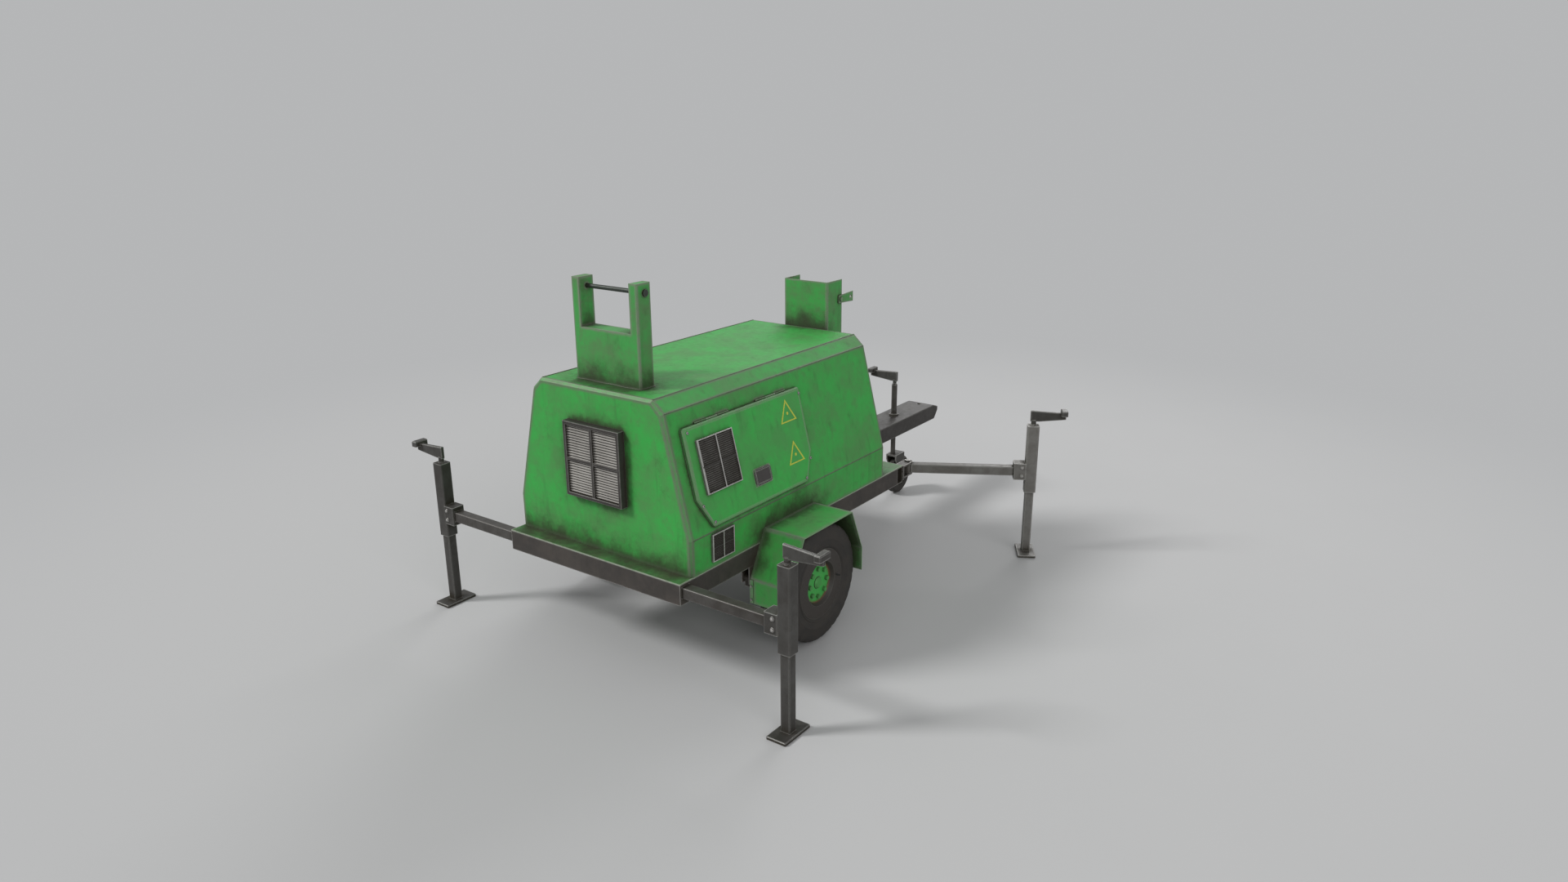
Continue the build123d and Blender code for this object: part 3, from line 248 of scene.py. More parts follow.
def rubber(name, base, dusty, dust):
    """Matt rubber with dust in the grooves and on the raised parts."""
    g = Graph(name)
    mottle = g.step(g.noise(14.0, 5.0, 0.65), 0.35, 0.7)
    colour = g.mix(base, dusty, g.calc("MULTIPLY", mottle, 0.7 * dust))
    opening = g.openness(0.02)
    colour = g.mix(colour, dusty, g.calc("MULTIPLY", g.step(opening, 0.35, 0.9, 0.8, 0.0), dust))
    scuff = g.step(g.edges(0.003), 0.02, 0.2)
    colour = g.mix(colour, shaded(dusty, 1.6), g.calc("MULTIPLY", scuff, 0.45))
    height = g.calc("MULTIPLY_ADD", g.noise(420.0, 2.0), 0.5, g.noise(60.0, 4.0, 0.6))
    roughness = g.calc("MULTIPLY_ADD", mottle, 0.12, 0.72)
    return g.finish(colour, roughness, 0.0, g.bumps(height, 0.25, 0.0008))


def decal(name, base, worn_to):
    """Painted line, chipped by noise."""
    g = Graph(name)
    chips = g.step(g.noise(120.0, 4.0, 0.7), 0.56, 0.66)
    colour = g.mix(base, worn_to, g.calc("MULTIPLY", chips, 0.7))
    roughness = g.calc("MULTIPLY_ADD", chips, 0.2, 0.45)
    return g.finish(colour, roughness, 0.0, g.bumps(chips, 0.1, 0.0003))


# linear colours
GREEN = (0.032, 0.330, 0.054)
GREEN_DARK = (0.062, 0.235, 0.060)
GREEN_WORN = (0.135, 0.172, 0.112)
DISC_GREEN = (0.045, 0.300, 0.055)
PALE = (0.42, 0.43, 0.38)
PALE_STEEL = (0.50, 0.49, 0.47)
WHEEL_DARK = (0.030, 0.025, 0.021)

# green paint
green = worn("green_paint", GREEN, GREEN_DARK, GREEN_WORN, radius=0.026, rust=0.12, reach=0.20)
green_door = worn("green_door", (0.036, 0.365, 0.060), (0.058, 0.275, 0.064), (0.165, 0.200, 0.140),
                  radius=0.012, rust=0.12, reach=0.05, shade_and_grime=0.6, line=(0.30, 0.33, 0.27))
green_mast = worn("green_mast", (0.044, 0.290, 0.060), (0.080, 0.195, 0.068), (0.200, 0.230, 0.170),
                  radius=0.018, rust=0.2, reach=0.16)
green_sheet = worn("green_sheet", (0.055, 0.390, 0.072), (0.095, 0.290, 0.085), (0.230, 0.270, 0.200),
                   radius=0.030, rust=0.2, reach=0.12)
green_deck = worn("green_deck", (0.050, 0.225, 0.055), (0.080, 0.140, 0.055), (0.20, 0.24, 0.17),
                  radius=0.010, reach=0.20, rust=0.3, line=PALE)
seam_paint = worn("seam_paint", (0.100, 0.150, 0.085), (0.070, 0.120, 0.060), (0.17, 0.19, 0.14),
                  radius=0.002, rust=0.2, reach=0.03)
hub_paint = worn("hub_paint", (0.045, 0.280, 0.055), (0.060, 0.180, 0.055), (0.12, 0.16, 0.10),
                 radius=0.003, reach=0.012, rust=0.3, shade_and_grime=0.7)
wheel_paint = wheel_finish("wheel_paint", 0.116)

# dark paint and steel
chassis = worn("chassis_paint", (0.036, 0.032, 0.029), (0.055, 0.047, 0.041), (0.10, 0.095, 0.088),
               radius=0.009, rust=0.35, rough=0.55, edge_metallic=0.6, line=BARE)
drawbar = worn("drawbar_paint", (0.034, 0.031, 0.028), (0.026, 0.023, 0.021), (0.09, 0.086, 0.08),
               radius=0.010, rust=0.4, edge_metallic=0.5, reach=0.08, line=(0.22, 0.21, 0.20))
leg_steel = worn("leg_steel", (0.068, 0.066, 0.062), (0.045, 0.042, 0.038), (0.12, 0.118, 0.11),
                 radius=0.009, metallic=0.3, edge_metallic=0.8, rough=0.45, rust=0.35, reach=0.07,
                 line=PALE_STEEL)
# front legs and arms: a lighter copy of the leg steel, its lightness a painted sheen
front_steel_sheen = worn("front_steel_sheen", (0.165, 0.160, 0.150), (0.115, 0.108, 0.098), (0.26, 0.255, 0.24),
                   radius=0.009, metallic=0.15, edge_metallic=0.6, rough=0.50, rust=0.40, reach=0.06,
                   line=PALE_STEEL)
arm_steel = worn("arm_steel", (0.088, 0.084, 0.078), (0.052, 0.047, 0.042), (0.18, 0.17, 0.16),
                 radius=0.007, metallic=0.4, edge_metallic=0.85, rough=0.42, rust=0.4, reach=0.06,
                 line=(0.62, 0.61, 0.58))
bare_steel = worn("bare_steel", (0.34, 0.33, 0.32), (0.24, 0.23, 0.215), (0.55, 0.54, 0.52),
                  radius=0.003, metallic=0.6, edge_metallic=0.9, rough=0.38, rust=0.25, reach=0.05)
pin_steel = worn("pin_steel", (0.055, 0.065, 0.055), (0.04, 0.045, 0.04), (0.20, 0.21, 0.19),
                 radius=0.003, metallic=0.5, edge_metallic=0.9, rough=0.45, rust=0.2, reach=0.05)
latch_dark = worn("latch_dark", (0.068, 0.060, 0.060), (0.050, 0.045, 0.044), (0.16, 0.155, 0.15),
                  radius=0.004, rust=0.1, reach=0.02, line=PALE_STEEL)

# grilles
grille_frame = worn("grille_frame", (0.055, 0.050, 0.046), (0.040, 0.036, 0.033), (0.16, 0.155, 0.145),
                    radius=0.004, metallic=0.3, edge_metallic=0.6, rough=0.5, rust=0.2, reach=0.03,
                    line=(0.42, 0.41, 0.39))
slat_light = worn("slat_light", (0.34, 0.325, 0.30), (0.25, 0.235, 0.215), (0.46, 0.45, 0.42),
                  radius=0.002, metallic=0.1, edge_metallic=0.4, rough=0.5, rust=0.2, reach=0.008,
                  shade_and_grime=0.7)
frame_bright = worn("frame_bright", (0.46, 0.45, 0.43), (0.26, 0.25, 0.235), (0.66, 0.65, 0.63),
                    radius=0.003, metallic=0.4, edge_metallic=0.8, rough=0.42, rust=0.2, reach=0.015,
                    shade_and_grime=0.8)
slat_dark = worn("slat_dark", (0.050, 0.046, 0.042), (0.034, 0.031, 0.028), (0.10, 0.096, 0.09),
                 radius=0.002, metallic=0.2, edge_metallic=0.5, rough=0.55, rust=0.1, reach=0.02)

# under the canopy
casting = worn("engine_casting", (0.10, 0.115, 0.125), (0.075, 0.085, 0.09), (0.25, 0.25, 0.25),
               radius=0.004)
core = worn("radiator_core", (0.16, 0.165, 0.17), (0.11, 0.112, 0.115), (0.4, 0.4, 0.4),
            radius=0.003, metallic=0.5)
plastic = worn("moulded_plastic", (0.030, 0.030, 0.032), (0.045, 0.044, 0.043), (0.10, 0.10, 0.10),
               radius=0.003, rust=0.0, edge_metallic=0.0)

# rubber and painted marks
tyre_rubber = rubber("tyre_rubber", (0.019, 0.017, 0.015), (0.040, 0.034, 0.028), 0.9)
mount_rubber = rubber("mount_rubber", (0.02, 0.02, 0.02), (0.04, 0.038, 0.035), 0.5)
yellow_line = decal("yellow_line", (0.46, 0.50, 0.045), (0.16, 0.30, 0.05))

# starts of the names of the CAD nodes that each material covers
NODE_MATERIALS = {
    green: ("canopy_shell",),
    green_door: ("door_right", "door_left"),
    green_mast: ("rear_mast_bracket", "front_mast_cradle", "cradle_keeper"),
    green_sheet: ("mudguards",),
    green_deck: ("deck_plate",),
    chassis: ("chassis_frame", "axle_beam", "leaf_springs"),
    drawbar: ("drawbar",),
    leg_steel: ("leg_tube_rear", "inner_leg_rear", "leg_crank_", "jack_crank", "jockey_fork",
                "silencer"),
    front_steel_sheen: ("leg_tube_front", "inner_leg_front", "front_arm_"),
    arm_steel: ("rear_arm_", "jack_tube", "jack_inner", "front_hinge_brackets"),
    bare_steel: ("front_hinge_pins", "mudguard_bolts", "door_hinge_pins"),
    pin_steel: ("mast_pivot_pin",),
    grille_frame: ("rear_grille", "door_grille_", "lower_grilles", "control_box"),
    latch_dark: ("latch_paddle_",),
    casting: ("engine_block", "alternator"),
    core: ("radiator",),
    plastic: ("fuel_tank", "battery", "air_filter", "cooling_fan"),
    tyre_rubber: ("tyre_", "jockey_wheel"),
    mount_rubber: ("engine_mounts",),
    wheel_paint: ("rim_",),
    hub_paint: ("hub_",),
}
for material, starts in NODE_MATERIALS.items():
    for name, piece in nodes.items():
        if name.startswith(starts):
            piece.data.materials.clear()
            piece.data.materials.append(material)


# ---------------------------------------------------------------------------
# mesh helpers
# ---------------------------------------------------------------------------
def piece_from(mesh, name, material, body, smooth=None, more=()):
    """A new piece from a bmesh, riding on a body.

    More holds the materials of faces with an index above zero, and smooth is the sharpest angle,
    in degrees, that is shaded smooth.
    """
    bmesh.ops.recalc_face_normals(mesh, faces=mesh.faces)
    data = bpy.data.meshes.new(name)
    mesh.to_mesh(data)
    mesh.free()
    for paint in (material, *more):
        data.materials.append(paint)
    piece = bpy.data.objects.new(name, data)
    bpy.context.scene.collection.objects.link(piece)
    if smooth is not None:
        data.shade_smooth()
        data.set_sharp_from_angle(angle=math.radians(smooth))
    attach(piece, body)
    return piece


def seat(origin, normal, along=(0, 0, 1)):
    """Matrix of a place whose local Z is the normal and whose local Y is near a direction."""
    out = Vector(normal).normalized()
    across = Vector(along).cross(out).normalized()
    up = out.cross(across)
    turn = Matrix((across, up, out)).transposed().to_4x4()
    return Matrix.Translation(origin) @ turn


def circle(radius, count):
    """Points round the local origin."""
    turns = [2 * math.pi * i / count for i in range(count)]
    return [(radius * math.cos(turn), radius * math.sin(turn)) for turn in turns]


def rectangle(width, height):
    """Corners of a rectangle about the local origin."""
    x, y = width / 2, height / 2
    return [(-x, -y), (x, -y), (x, y), (-x, y)]


def lathe(mesh, place, profile, segments):
    """Turn a closed profile of (radius, height) about the local Z of a place."""
    rings = []
    for i in range(segments):
        angle = 2 * math.pi * i / segments
        c, s = math.cos(angle), math.sin(angle)
        rings.append([mesh.verts.new(place @ Vector((r * c, r * s, h))) for r, h in profile])
    for i in range(segments):
        here, there = rings[i], rings[(i + 1) % segments]
        for j in range(len(profile) - 1):
            mesh.faces.new((here[j], here[j + 1], there[j + 1], there[j]))
    mesh.faces.new([ring[-1] for ring in rings])
    mesh.faces.new([ring[0] for ring in reversed(rings)])


def bolt(mesh, place, size):
    """Washer and hexagonal head, both with a broken edge. The size is the head's radius."""
    washer = [(1.35, 0.0), (1.35, 0.20), (1.28, 0.26), (0.9, 0.26)]
    head = [(0.98, 0.24), (1.0, 0.30), (1.0, 0.82), (0.90, 0.95), (0.5, 0.95)]
    lathe(mesh, place, [(size * r, size * h) for r, h in washer], 24)
    lathe(mesh, place, [(size * r, size * h) for r, h in head], 6)
    dome = [(0.52, 0.93), (0.45, 1.05), (0.25, 1.12)]
    lathe(mesh, place, [(size * r, size * h) for r, h in dome], 16)


def screw(mesh, place, size):
    """Low round head with a socket. The size is the head's radius."""
    head = [(1.0, 0.0), (1.0, 0.12), (0.86, 0.38), (0.62, 0.52), (0.42, 0.55), (0.38, 0.50),
            (0.38, 0.25)]
    lathe(mesh, place, [(size * r, size * h) for r, h in head], 24)


def slab(mesh, place, outline, low, high, bevel=0.0, inner=None):
    """Plate with an outline in a place's local XY, from low to high.

    Inner is the outline of an opening, with the same number of points.
    """
    levels = [(low, 0.0), (high, 0.0)]
    if bevel:
        levels = [(low, 0.0), (high - bevel, 0.0), (high, bevel)]

    def ring(points, height, inset):
        centre = sum((Vector(p) for p in points), Vector((0, 0))) / len(points)
        made = []
        for p in points:
            direction = Vector(p) - centre
            pulled = Vector(p) - direction.normalized() * inset
            made.append(mesh.verts.new(place @ Vector((pulled.x, pulled.y, height))))
        return made

    outer = [ring(outline, height, inset) for height, inset in levels]
    count = len(outline)
    neighbours = [(i, (i + 1) % count) for i in range(count)]
    for below, above in zip(outer, outer[1:]):
        for i, j in neighbours:
            mesh.faces.new((below[i], below[j], above[j], above[i]))
    if inner is None:
        mesh.faces.new(outer[-1])
        mesh.faces.new(list(reversed(outer[0])))
        return
    hole = [ring(inner, height, -inset) for height, inset in levels]
    for below, above in zip(hole, hole[1:]):
        for i, j in neighbours:
            mesh.faces.new((below[j], below[i], above[i], above[j]))
    for edge, opening in ((outer[-1], hole[-1]), (outer[0], hole[0])):
        for i, j in neighbours:
            mesh.faces.new((edge[i], edge[j], opening[j], opening[i]))


def rounded_rectangle(width, height, radius, steps=6):
    """Points of a rectangle with rounded corners, about the local origin."""
    points = []
    for quarter, (sx, sy) in enumerate(((1, 1), (-1, 1), (-1, -1), (1, -1))):
        for i in range(steps + 1):
            angle = math.radians(90 * quarter + 90 * i / steps)
            x = sx * (width / 2 - radius) + radius * math.cos(angle)
            y = sy * (height / 2 - radius) + radius * math.sin(angle)
            points.append((x, y))
    return points


def bead(mesh, points, radius, closed=False, sides=8):
    """Round bar along a line of points."""
    count = len(points)
    rings = []
    for i, point in enumerate(points):
        before = points[i - 1] if i > 0 or closed else point
        after = points[(i + 1) % count] if i < count - 1 or closed else point
        along = (after - before).normalized()
        across = along.orthogonal().normalized()
        if rings:
            # keep the ring from twisting: stay close to the last ring's first direction
            last = (rings[-1][0].co - points[i - 1]).normalized()
            across = (last - along * last.dot(along)).normalized()
        other = along.cross(across)
        rings.append([mesh.verts.new(point + across * x + other * y)
                      for x, y in circle(radius, sides)])
    spans = count if closed else count - 1
    for i in range(spans):
        here, there = rings[i], rings[(i + 1) % count]
        for k in range(sides):
            mesh.faces.new((here[k], here[(k + 1) % sides], there[(k + 1) % sides], there[k]))
    if not closed:
        mesh.faces.new(list(reversed(rings[0])))
        mesh.faces.new(rings[-1])


# ---------------------------------------------------------------------------
# the sloping side of the canopy: upright up to a seam, then leaning in up to the shoulder
# ---------------------------------------------------------------------------
shell_low, shell_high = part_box("canopy_shell")
SEAM_HEIGHT = 0.832
SHOULDER_HEIGHT = 1.471
ROOF_HALF = 0.400
SLOPE_RUN = 0.161
SLOPE_RISE = 0.639
SLOPE_LENGTH = math.hypot(SLOPE_RUN, SLOPE_RISE)
DOOR_FACE = 0.021  # the door's outer face, out from the canopy's sheet


def side_seat(side, x, up):
    """Place on a door's face: x along the trailer, and up the slope from the seam."""
    sign = SIDES[side]
    along = Vector((0, -sign * SLOPE_RUN, SLOPE_RISE)) / SLOPE_LENGTH
    normal = Vector((0, sign * SLOPE_RISE, SLOPE_RUN)) / SLOPE_LENGTH
    foot = Vector((x, sign * shell_high.y, SEAM_HEIGHT))
    return seat(foot + along * up + normal * DOOR_FACE, normal, along)


# ---------------------------------------------------------------------------
# details on the doors
# ---------------------------------------------------------------------------
door_low, door_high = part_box("door_right")
# each screw's distance from the door's rear edge, or from its front edge if below zero, and its
# distance up the slope
DOOR_SCREWS = ((0.033, 0.534), (-0.011, 0.525), (0.033, 0.150), (0.095, 0.048), (-0.022, 0.145),
               (-0.094, 0.046))
SCREW_SIZE = 9 * MM
LATCH_UP = 0.170
LATCH_DEPTH = 0.0085
# width, height and corner radius of the latch's bezel
LATCH_OUTSIDE = (0.142, 0.091, 0.020)
LATCH_OPENING = (0.122, 0.071, 0.010)
MARK_DEPTH = 0.0006
MARK_FROM_FRONT = 0.150
TRIANGLE_UPS = (0.392, 0.154)
TRIANGLE_HALF = 0.075
TRIANGLE_HEIGHT = 0.128
TRIANGLE_LINE = 7 * MM
DOT_UP = 0.048
DOT_SIZE = 9 * MM


def triangle(mesh, place, half, height, width):
    """Plain outlined triangle."""
    outer = [(-half, 0), (half, 0), (0, height)]
    shrink = width * 2.2
    inner = [(-half + shrink, width), (half - shrink, width), (0, height - width * 2.6)]
    slab(mesh, place, outer, 0.0, MARK_DEPTH, inner=inner)


for side in SIDES:
    body = "door_panel_" + side
    mesh = bmesh.new()
    for offset_x, up in DOOR_SCREWS:
        x = (door_low.x if offset_x > 0 else door_high.x) + offset_x
        screw(mesh, side_seat(side, x, up), SCREW_SIZE)
    piece_from(mesh, "door_screws_" + side, bare_steel, body, smooth=30)

    # bezel over the border of the latch, with rounded corners
    mesh = bmesh.new()
    slab(mesh, side_seat(side, middle("latch_paddle_" + side).x, LATCH_UP),
         rounded_rectangle(*LATCH_OUTSIDE), 0.0, LATCH_DEPTH, 0.002,
         inner=rounded_rectangle(*LATCH_OPENING))
    piece_from(mesh, "latch_bezel_" + side, latch_dark, body)

    mesh = bmesh.new()
    mark_x = door_high.x - MARK_FROM_FRONT
    for up in TRIANGLE_UPS:
        triangle(mesh, side_seat(side, mark_x, up), TRIANGLE_HALF, TRIANGLE_HEIGHT, TRIANGLE_LINE)
        slab(mesh, side_seat(side, mark_x, up + DOT_UP), circle(DOT_SIZE, 16), 0.0, MARK_DEPTH)
    piece_from(mesh, "door_triangles_" + side, yellow_line, body)

# ---------------------------------------------------------------------------
# grilles: bordered, with a mullion and a divider in front of sloping slats
# ---------------------------------------------------------------------------
SLAT_LEAN = math.radians(30)
# places and depths of the parts, as shares of a grille's depth
SLAT_PLACE = 0.66
MULLION_PLACE, MULLION_DEPTH = 0.82, 0.30
DIVIDER_PLACE, DIVIDER_DEPTH = 0.80, 0.26
BAR_LAP = 0.002  # how much longer a bar is than the opening
BACK_LAP = 0.004
BACK_GAUGE = 0.0016


def beam(mesh, place, centre, size, tilt=0.0, index=0):
    """Rectangular bar in a place's frame, tilted about its length in local X."""
    turn = place @ Matrix.Translation(centre) @ Matrix.Rotation(tilt, 4, "X")
    corners = [mesh.verts.new(turn @ Vector((sx * size[0] / 2, sy * size[1] / 2, sz * size[2] / 2)))
               for sx in (-1, 1) for sy in (-1, 1) for sz in (-1, 1)]
    quads = ((0, 1, 3, 2), (4, 6, 7, 5), (0, 4, 5, 1), (2, 3, 7, 6), (0, 2, 6, 4), (1, 5, 7, 3))
    for quad in quads:
        mesh.faces.new([corners[i] for i in quad]).material_index = index


def grille(mesh, place, width, height, depth, border, slats, gauge, reach, mullion, divider,
           offset=0.0):
    """Grille in a place's local XY, rising by its depth. Materials: border, slats, mullion, divider.

    Gauge and reach are a slat's thickness and depth, mullion and divider the widths of the upright
    and level bars, and offset moves the mullion from the middle.
    """
    clear_w, clear_h = width - 2 * border, height - 2 * border
    outline = rectangle(width, height)
    inner = [(x * clear_w / width, y * clear_h / height) for x, y in outline]
    slab(mesh, place, outline, 0.0, depth, min(0.003, 0.2 * border), inner=inner)
    # plate that closes the back of the grille
    beam(mesh, place, (0, 0, 0.001), (clear_w + BACK_LAP, clear_h + BACK_LAP, BACK_GAUGE))
    pitch = clear_h / slats
    for i in range(slats):
        beam(mesh, place, (0, -clear_h / 2 + (i + 0.5) * pitch, SLAT_PLACE * depth),
             (clear_w + BAR_LAP, gauge, reach), SLAT_LEAN, index=1)
    beam(mesh, place, (offset, 0, MULLION_PLACE * depth),
         (mullion, clear_h + BAR_LAP, MULLION_DEPTH * depth), index=2)
    beam(mesh, place, (0, 0, DIVIDER_PLACE * depth),
         (clear_w + BAR_LAP, divider, DIVIDER_DEPTH * depth), index=3)


low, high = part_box("rear_grille")
mesh = bmesh.new()
place = seat(Vector((high.x, (low.y + high.y) / 2, (low.z + high.z) / 2)), (-1, 0, 0))
grille(mesh, place, high.y - low.y, high.z - low.z, high.x - low.x, border=0.019, slats=26,
       gauge=0.0045, reach=0.0085, mullion=0.016, divider=0.014)
made = piece_from(mesh, "rear_louvres", grille_frame, "chassis",
                  more=(slat_light, grille_frame, grille_frame))
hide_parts("rear_grille")

DOOR_GRILLE_UP = 0.340
DOOR_GRILLE_HEIGHT = 0.288
DOOR_GRILLE_DEPTH = 0.014
REAR_EDGE = 0.009  # width of the border's broad edge
REAR_EDGE_INSET = 0.0075
for side, sign in SIDES.items():
    low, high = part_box("door_grille_" + side)
    mesh = bmesh.new()
    place = side_seat(side, (low.x + high.x) / 2, DOOR_GRILLE_UP)
    grille(mesh, place, high.x - low.x, DOOR_GRILLE_HEIGHT, DOOR_GRILLE_DEPTH, border=0.0055,
           slats=26, gauge=0.0022, reach=0.0060, mullion=0.007, divider=0.009, offset=-sign * 0.008)
    edge_x = sign * ((high.x - low.x) / 2 - REAR_EDGE_INSET)
    beam(mesh, place, (edge_x, 0, DOOR_GRILLE_DEPTH / 2),
         (REAR_EDGE, DOOR_GRILLE_HEIGHT - 0.008, DOOR_GRILLE_DEPTH - 0.002))
    made = piece_from(mesh, "door_louvres_" + side, frame_bright, "door_panel_" + side,
                      more=(slat_dark, frame_bright, slat_dark))
    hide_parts("door_grille_" + side)

low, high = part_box("lower_grilles")
LOWER_DEPTH = 0.012
mesh = bmesh.new()
for sign in SIDES.values():
    origin = Vector(((low.x + high.x) / 2, sign * (high.y - LOWER_DEPTH), (low.z + high.z) / 2))
    grille(mesh, seat(origin, (0, sign, 0)), high.x - low.x, high.z - low.z, LOWER_DEPTH,
           border=0.006, slats=15, gauge=0.0020, reach=0.0055, mullion=0.006, divider=0.007)
made = piece_from(mesh, "lower_louvres", frame_bright, "chassis",
                  more=(slat_dark, frame_bright, slat_dark))
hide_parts("lower_grilles")

# ---------------------------------------------------------------------------
# canopy: lap seams along the bends
# ---------------------------------------------------------------------------
SEAM_INSET = 0.016  # of a seam's ends from the canopy's
SEAM_STEPS = 24
SEAM_RADIUS = 5 * MM
SEAM_SUNK = (0.0035, 0.0015)  # how far the seam's middle lies in from the bend and down from it
seam_front, seam_rear = shell_high.x - SEAM_INSET, shell_low.x + SEAM_INSET
seam_bends = ((shell_high.y, SEAM_HEIGHT), (shell_high.y - SLOPE_RUN, SHOULDER_HEIGHT),
              (ROOF_HALF, shell_high.z))
mesh = bmesh.new()
for sign in (-1, 1):
    for y, z in seam_bends:
        line = [Vector((seam_rear + (seam_front - seam_rear) * i / SEAM_STEPS,
                        sign * (y - SEAM_SUNK[0]), z - SEAM_SUNK[1]))
                for i in range(SEAM_STEPS + 1)]
        bead(mesh, line, SEAM_RADIUS)
piece_from(mesh, "canopy_seams", seam_paint, "chassis", smooth=60)

# ---------------------------------------------------------------------------
# weld bead round the foot of the rear mast support
# ---------------------------------------------------------------------------
WELD_RADIUS = 4 * MM
WELD_WAVE = 0.0012


def foot_line(low, high, z, step=0.02):
    """Closed line round a box's foot, with a little waviness."""
    corners = [(low.x, low.y), (high.x, low.y), (high.x, high.y), (low.x, high.y)]
    points = []
    for (x0, y0), (x1, y1) in zip(corners, corners[1:] + corners[:1]):
        count = max(2, int(math.hypot(x1 - x0, y1 - y0) / step))
        for i in range(count):
            share = i / count
            wave = WELD_WAVE * math.sin(7.0 * len(points))
            points.append(Vector((x0 + (x1 - x0) * share, y0 + (y1 - y0) * share, z + wave)))
    return points


mesh = bmesh.new()
bead(mesh, foot_line(*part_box("rear_mast_bracket"), shell_high.z + 0.001), WELD_RADIUS, closed=True)
piece_from(mesh, "mast_welds", seam_paint, "chassis", smooth=60)

# ---------------------------------------------------------------------------
# bolts through the clamp of each leg
# ---------------------------------------------------------------------------
CLAMP_REACH = 0.060  # from the leg's axis to the bolts, towards the trailer
CLAMP_HALF = 0.042
CLAMP_HEIGHTS = (0.560, 0.617)
CLAMP_BOLT = 9 * MM
ARM_ANGLES = {"rear": 90, "front": 60}  # of each arm from the trailer's length, in degrees
for leg in LEGS:
    centre = middle("inner_leg_" + leg)
    end, side = leg.split("_")
    sign = SIDES[side]
    angle = math.radians(sign * ARM_ANGLES[end])
    outward = Vector((math.cos(angle), math.sin(angle), 0))
    across = Vector((outward.y, -outward.x, 0)) * sign
    mesh = bmesh.new()
    for z in CLAMP_HEIGHTS:
        for face in (-1, 1):
            axis = Vector((centre.x, centre.y, z))
            foot = axis - outward * CLAMP_REACH + across * (face * CLAMP_HALF)
            bolt(mesh, seat(foot, across * face), CLAMP_BOLT)
    piece_from(mesh, "clamp_bolts_" + leg, bare_steel, "outrigger_" + leg, smooth=30)

# ---------------------------------------------------------------------------
# tyres with rounded shoulders, rings on the side wall and tread grooves
# ---------------------------------------------------------------------------
TYRE_STEPS = 180
SLOT_EVERY = 5  # steps from one slot across the shoulder to the next
FLANGE_RADIUS = 0.2065
BEAD_RADIUS = 0.192
BEAD_INSET = 0.026
SHOULDER_DROP = 0.034
GROOVE_DEPTH = 0.008
SLOT_DEPTH = 0.007
GROOVES = (0.57, 0.255)  # places of the grooves, as shares of the tyre's half width
SLOT_FROM = 0.57
# points across the tread, for a tyre with a half width of TREAD_HALF
TREAD_HALF = 0.102
TREAD_WIDTHS = (0.062, 0.058, 0.054, 0.030, 0.026, 0.022, 0.004, 0.0)
STEM_OUT = 0.155  # the valve stem's distance from the axle
STEM_FACE = 0.091  # the dish's outer face, from the tyre's middle


def tyre_profile(radius, half):
    """Half of a tyre's outside, from the rim's flange to the middle of the tread.

    Each point is a radius, a width, and how far it belongs to the tread, from zero to one.
    """
    flange = FLANGE_RADIUS
    shoulder = radius - SHOULDER_DROP
    points = [(flange, half - 0.012, 0), (flange + 0.010, half - 0.003, 0),
              (flange + 0.014, half - 0.001, 0), (flange + 0.018, half - 0.005, 0),
              (flange + 0.050, half - 0.002, 0), (flange + 0.054, half, 0),
              (flange + 0.058, half - 0.002, 0), (shoulder - 0.012, half - 0.001, 0),
              (shoulder, half - 0.004, 0)]
    for i in range(1, 6):
        turn = math.radians(90 * i / 5)
        points.append((shoulder + SHOULDER_DROP * math.sin(turn) ** 0.9 - 0.001,
                       half - 0.004 - 0.024 * (1 - math.cos(turn)), i / 5))
    for width in TREAD_WIDTHS:
        points.append((radius, width * half / TREAD_HALF, 1))
    return points


def tyre(mesh, centre, radius, half):
    """A tyre about the Y axis of a centre, with four grooves and with slots across its shoulders."""
    half_line = tyre_profile(radius, half)
    line = [(r, -w, t) for r, w, t in half_line] + [(r, w, t) for r, w, t in reversed(half_line[:-1])]
    line = [(BEAD_RADIUS, -half + BEAD_INSET, 0)] + line + [(BEAD_RADIUS, half - BEAD_INSET, 0)]
    rings = []
    for i, (cos, sin) in enumerate(circle(1.0, TYRE_STEPS)):
        ring = []
        for r, w, tread in line:
            share = abs(w) / half
            cut = 0.0
            if tread == 1 and any(abs(share - groove) < 0.02 for groove in GROOVES):
                cut = GROOVE_DEPTH
            if i % SLOT_EVERY == 0 and tread > 0.3 and share > SLOT_FROM:
                cut = SLOT_DEPTH
            ring.append(mesh.verts.new(centre + Vector(((r - cut) * cos, w, (r - cut) * sin))))
        rings.append(ring)
    count = len(line)
    for here, there in zip(rings, rings[1:] + rings[:1]):
        for j in range(count):
            mesh.faces.new((here[j], there[j], there[(j + 1) % count], here[(j + 1) % count]))


for side, sign in SIDES.items():
    low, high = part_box("tyre_" + side)
    centre = (low + high) / 2
    mesh = bmesh.new()
    tyre(mesh, centre, (high.z - low.z) / 2, (high.y - low.y) / 2)
    made = piece_from(mesh, "road_tyre_" + side, tyre_rubber, "wheel_" + side, smooth=32)
    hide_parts("tyre_" + side)
    # valve stem through the dish
    mesh = bmesh.new()
    stem = [(0.0052, 0.0), (0.0052, 0.012), (0.0042, 0.014), (0.0042, 0.026), (0.0030, 0.028)]
    stem_foot = Vector((axle_x + STEM_OUT, sign * (abs(centre.y) + STEM_FACE), wheel_z))
    lathe(mesh, seat(stem_foot, (0, sign, 0)), stem, 12)
    piece_from(mesh, "valve_stem_" + side, mount_rubber, "wheel_" + side, smooth=30)

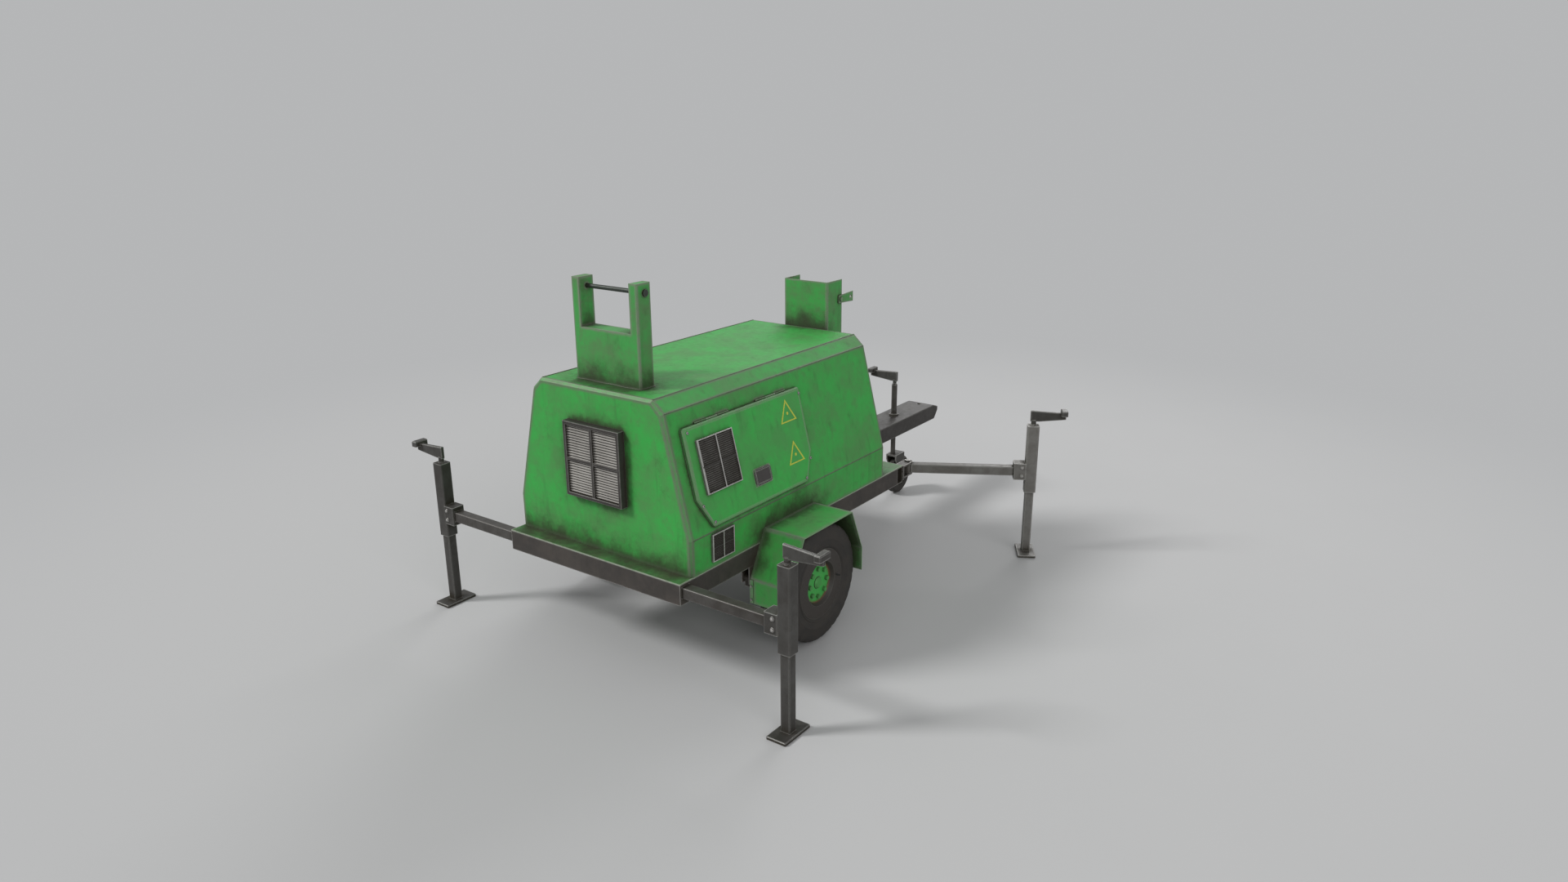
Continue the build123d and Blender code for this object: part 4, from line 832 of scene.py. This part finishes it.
# ---------------------------------------------------------------------------
# U-bolts that hold the axle to the springs
# ---------------------------------------------------------------------------
SPRING_INSET = 0.021  # of a spring's middle from the springs' outer side
U_BOLT_SPACING = 0.034  # each side of the axle
U_BOLT_HALF = 0.030
U_BOLT_TOP, U_BOLT_BOTTOM = 0.056, -0.034  # from the axle
U_BOLT_ARCH = 0.012
U_BOLT_RADIUS = 5 * MM
U_PLATE = (0.100, 0.084, 0.012)
U_PLATE_UNDER = 0.038  # from the axle down to the plate's underside
spring_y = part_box("leaf_springs")[1].y - SPRING_INSET
top, bottom = wheel_z + U_BOLT_TOP, wheel_z + U_BOLT_BOTTOM
mesh = bmesh.new()
for sign in (-1, 1):
    y = sign * spring_y
    for x in (axle_x - U_BOLT_SPACING, axle_x + U_BOLT_SPACING):
        arc = [Vector((x, y - U_BOLT_HALF, bottom))]
        for degrees in range(0, 181, 20):
            turn = math.radians(degrees)
            arc.append(Vector((x, y - U_BOLT_HALF * math.cos(turn),
                               top + U_BOLT_ARCH * math.sin(turn))))
        arc.append(Vector((x, y + U_BOLT_HALF, bottom)))
        bead(mesh, arc, U_BOLT_RADIUS)
    slab(mesh, Matrix.Translation((axle_x, y, wheel_z - U_PLATE_UNDER)), rectangle(*U_PLATE[:2]),
         0.0, U_PLATE[2], 0.002)
piece_from(mesh, "spring_u_bolts", leg_steel, "chassis", smooth=40)

# ---------------------------------------------------------------------------
# stage: floor, light and camera
# ---------------------------------------------------------------------------
FLOOR_RINGS = (6.0, 40.0, 300.0)
FLOOR_POINTS = 96
FLOOR_Z = -0.001
FADE_FROM, FADE_TO = 3.2, 7.5
STUDIO = (0.80, 0.81, 0.82)
STUDIO_STRENGTH = 0.58
mesh = bmesh.new()
rings = [[mesh.verts.new((x, y, FLOOR_Z)) for x, y in circle(reach, FLOOR_POINTS)]
         for reach in FLOOR_RINGS]
mesh.faces.new(rings[0])
for near, far in zip(rings, rings[1:]):
    for i in range(FLOOR_POINTS):
        j = (i + 1) % FLOOR_POINTS
        mesh.faces.new((near[i], far[i], far[j], near[j]))
data = bpy.data.meshes.new("floor")
mesh.to_mesh(data)
mesh.free()
floor = bpy.data.objects.new("floor", data)
bpy.context.scene.collection.objects.link(floor)

# the floor's paint fades into the studio's own light away from the trailer, so no horizon shows
g = Graph("floor_paint")
paint = g.finish((0.40, 0.40, 0.40), g.calc("MULTIPLY_ADD", g.noise(2.0), 0.1, 0.8))
paint_out = next(n for n in g.tree.nodes if n.type == "OUTPUT_MATERIAL")
painted = paint_out.inputs["Surface"].links[0].from_socket
span = g.new("ShaderNodeVectorMath", operation="LENGTH")
g.put(span.inputs[0], g.place)
glow = g.new("ShaderNodeEmission")
g.put(glow.inputs["Color"], STUDIO)
g.put(glow.inputs["Strength"], STUDIO_STRENGTH)
fade = g.new("ShaderNodeMixShader")
g.put(fade.inputs[0], g.step(span.outputs["Value"], FADE_FROM, FADE_TO))
g.put(fade.inputs[1], painted)
g.put(fade.inputs[2], glow.outputs[0])
g.put(paint_out.inputs["Surface"], fade.outputs[0])
data.materials.append(paint)

world = bpy.data.worlds.new("studio")
world.use_nodes = True
sky = world.node_tree.nodes["Background"]
sky.inputs["Color"].default_value = (*STUDIO, 1)
sky.inputs["Strength"].default_value = STUDIO_STRENGTH
bpy.context.scene.world = world


def lamp(name, origin, strength, spread):
    """Distant soft light that shines from an origin towards the trailer, with a spread in degrees."""
    light = bpy.data.lights.new(name, "SUN")
    light.energy = strength
    light.angle = math.radians(spread)
    holder = bpy.data.objects.new(name, light)
    bpy.context.scene.collection.objects.link(holder)
    holder.location = origin
    holder.rotation_mode = "QUATERNION"
    holder.rotation_quaternion = Vector(origin).to_track_quat("Z", "Y")


lamp("key", (-4.9, 5.2, 5.8), 2.3, 12)
lamp("fill", (-3.8, -7.0, 3.7), 1.0, 40)
lamp("rim", (6.2, 1.5, 3.2), 1.0, 30)

# the camera stands behind the trailer on its right-hand side
CAMERA_FROM_AXLE = Vector((-4.6039, -3.9417, 2.9746))
HEADING, PITCH, ROLL = (math.radians(a) for a in (35.935, 17.858, -0.332))
LENS, SENSOR = 24.757, 36
forward = Vector((math.cos(HEADING) * math.cos(PITCH), math.sin(HEADING) * math.cos(PITCH),
                  -math.sin(PITCH)))
level = Vector((math.sin(HEADING), -math.cos(HEADING), 0))
over = level.cross(forward)
right = math.cos(ROLL) * level + math.sin(ROLL) * over
over = -math.sin(ROLL) * level + math.cos(ROLL) * over
camera = bpy.data.objects.new("camera", bpy.data.cameras.new("camera"))
bpy.context.scene.collection.objects.link(camera)
camera.data.lens = LENS
camera.data.sensor_width = SENSOR
camera.rotation_mode = "QUATERNION"
camera.rotation_quaternion = Matrix((right, over, -forward)).transposed().to_quaternion()
camera.location = CAMERA_FROM_AXLE + Vector((axle_x, 0, 0))
bpy.context.scene.camera = camera
bpy.context.scene.view_settings.view_transform = "Standard"
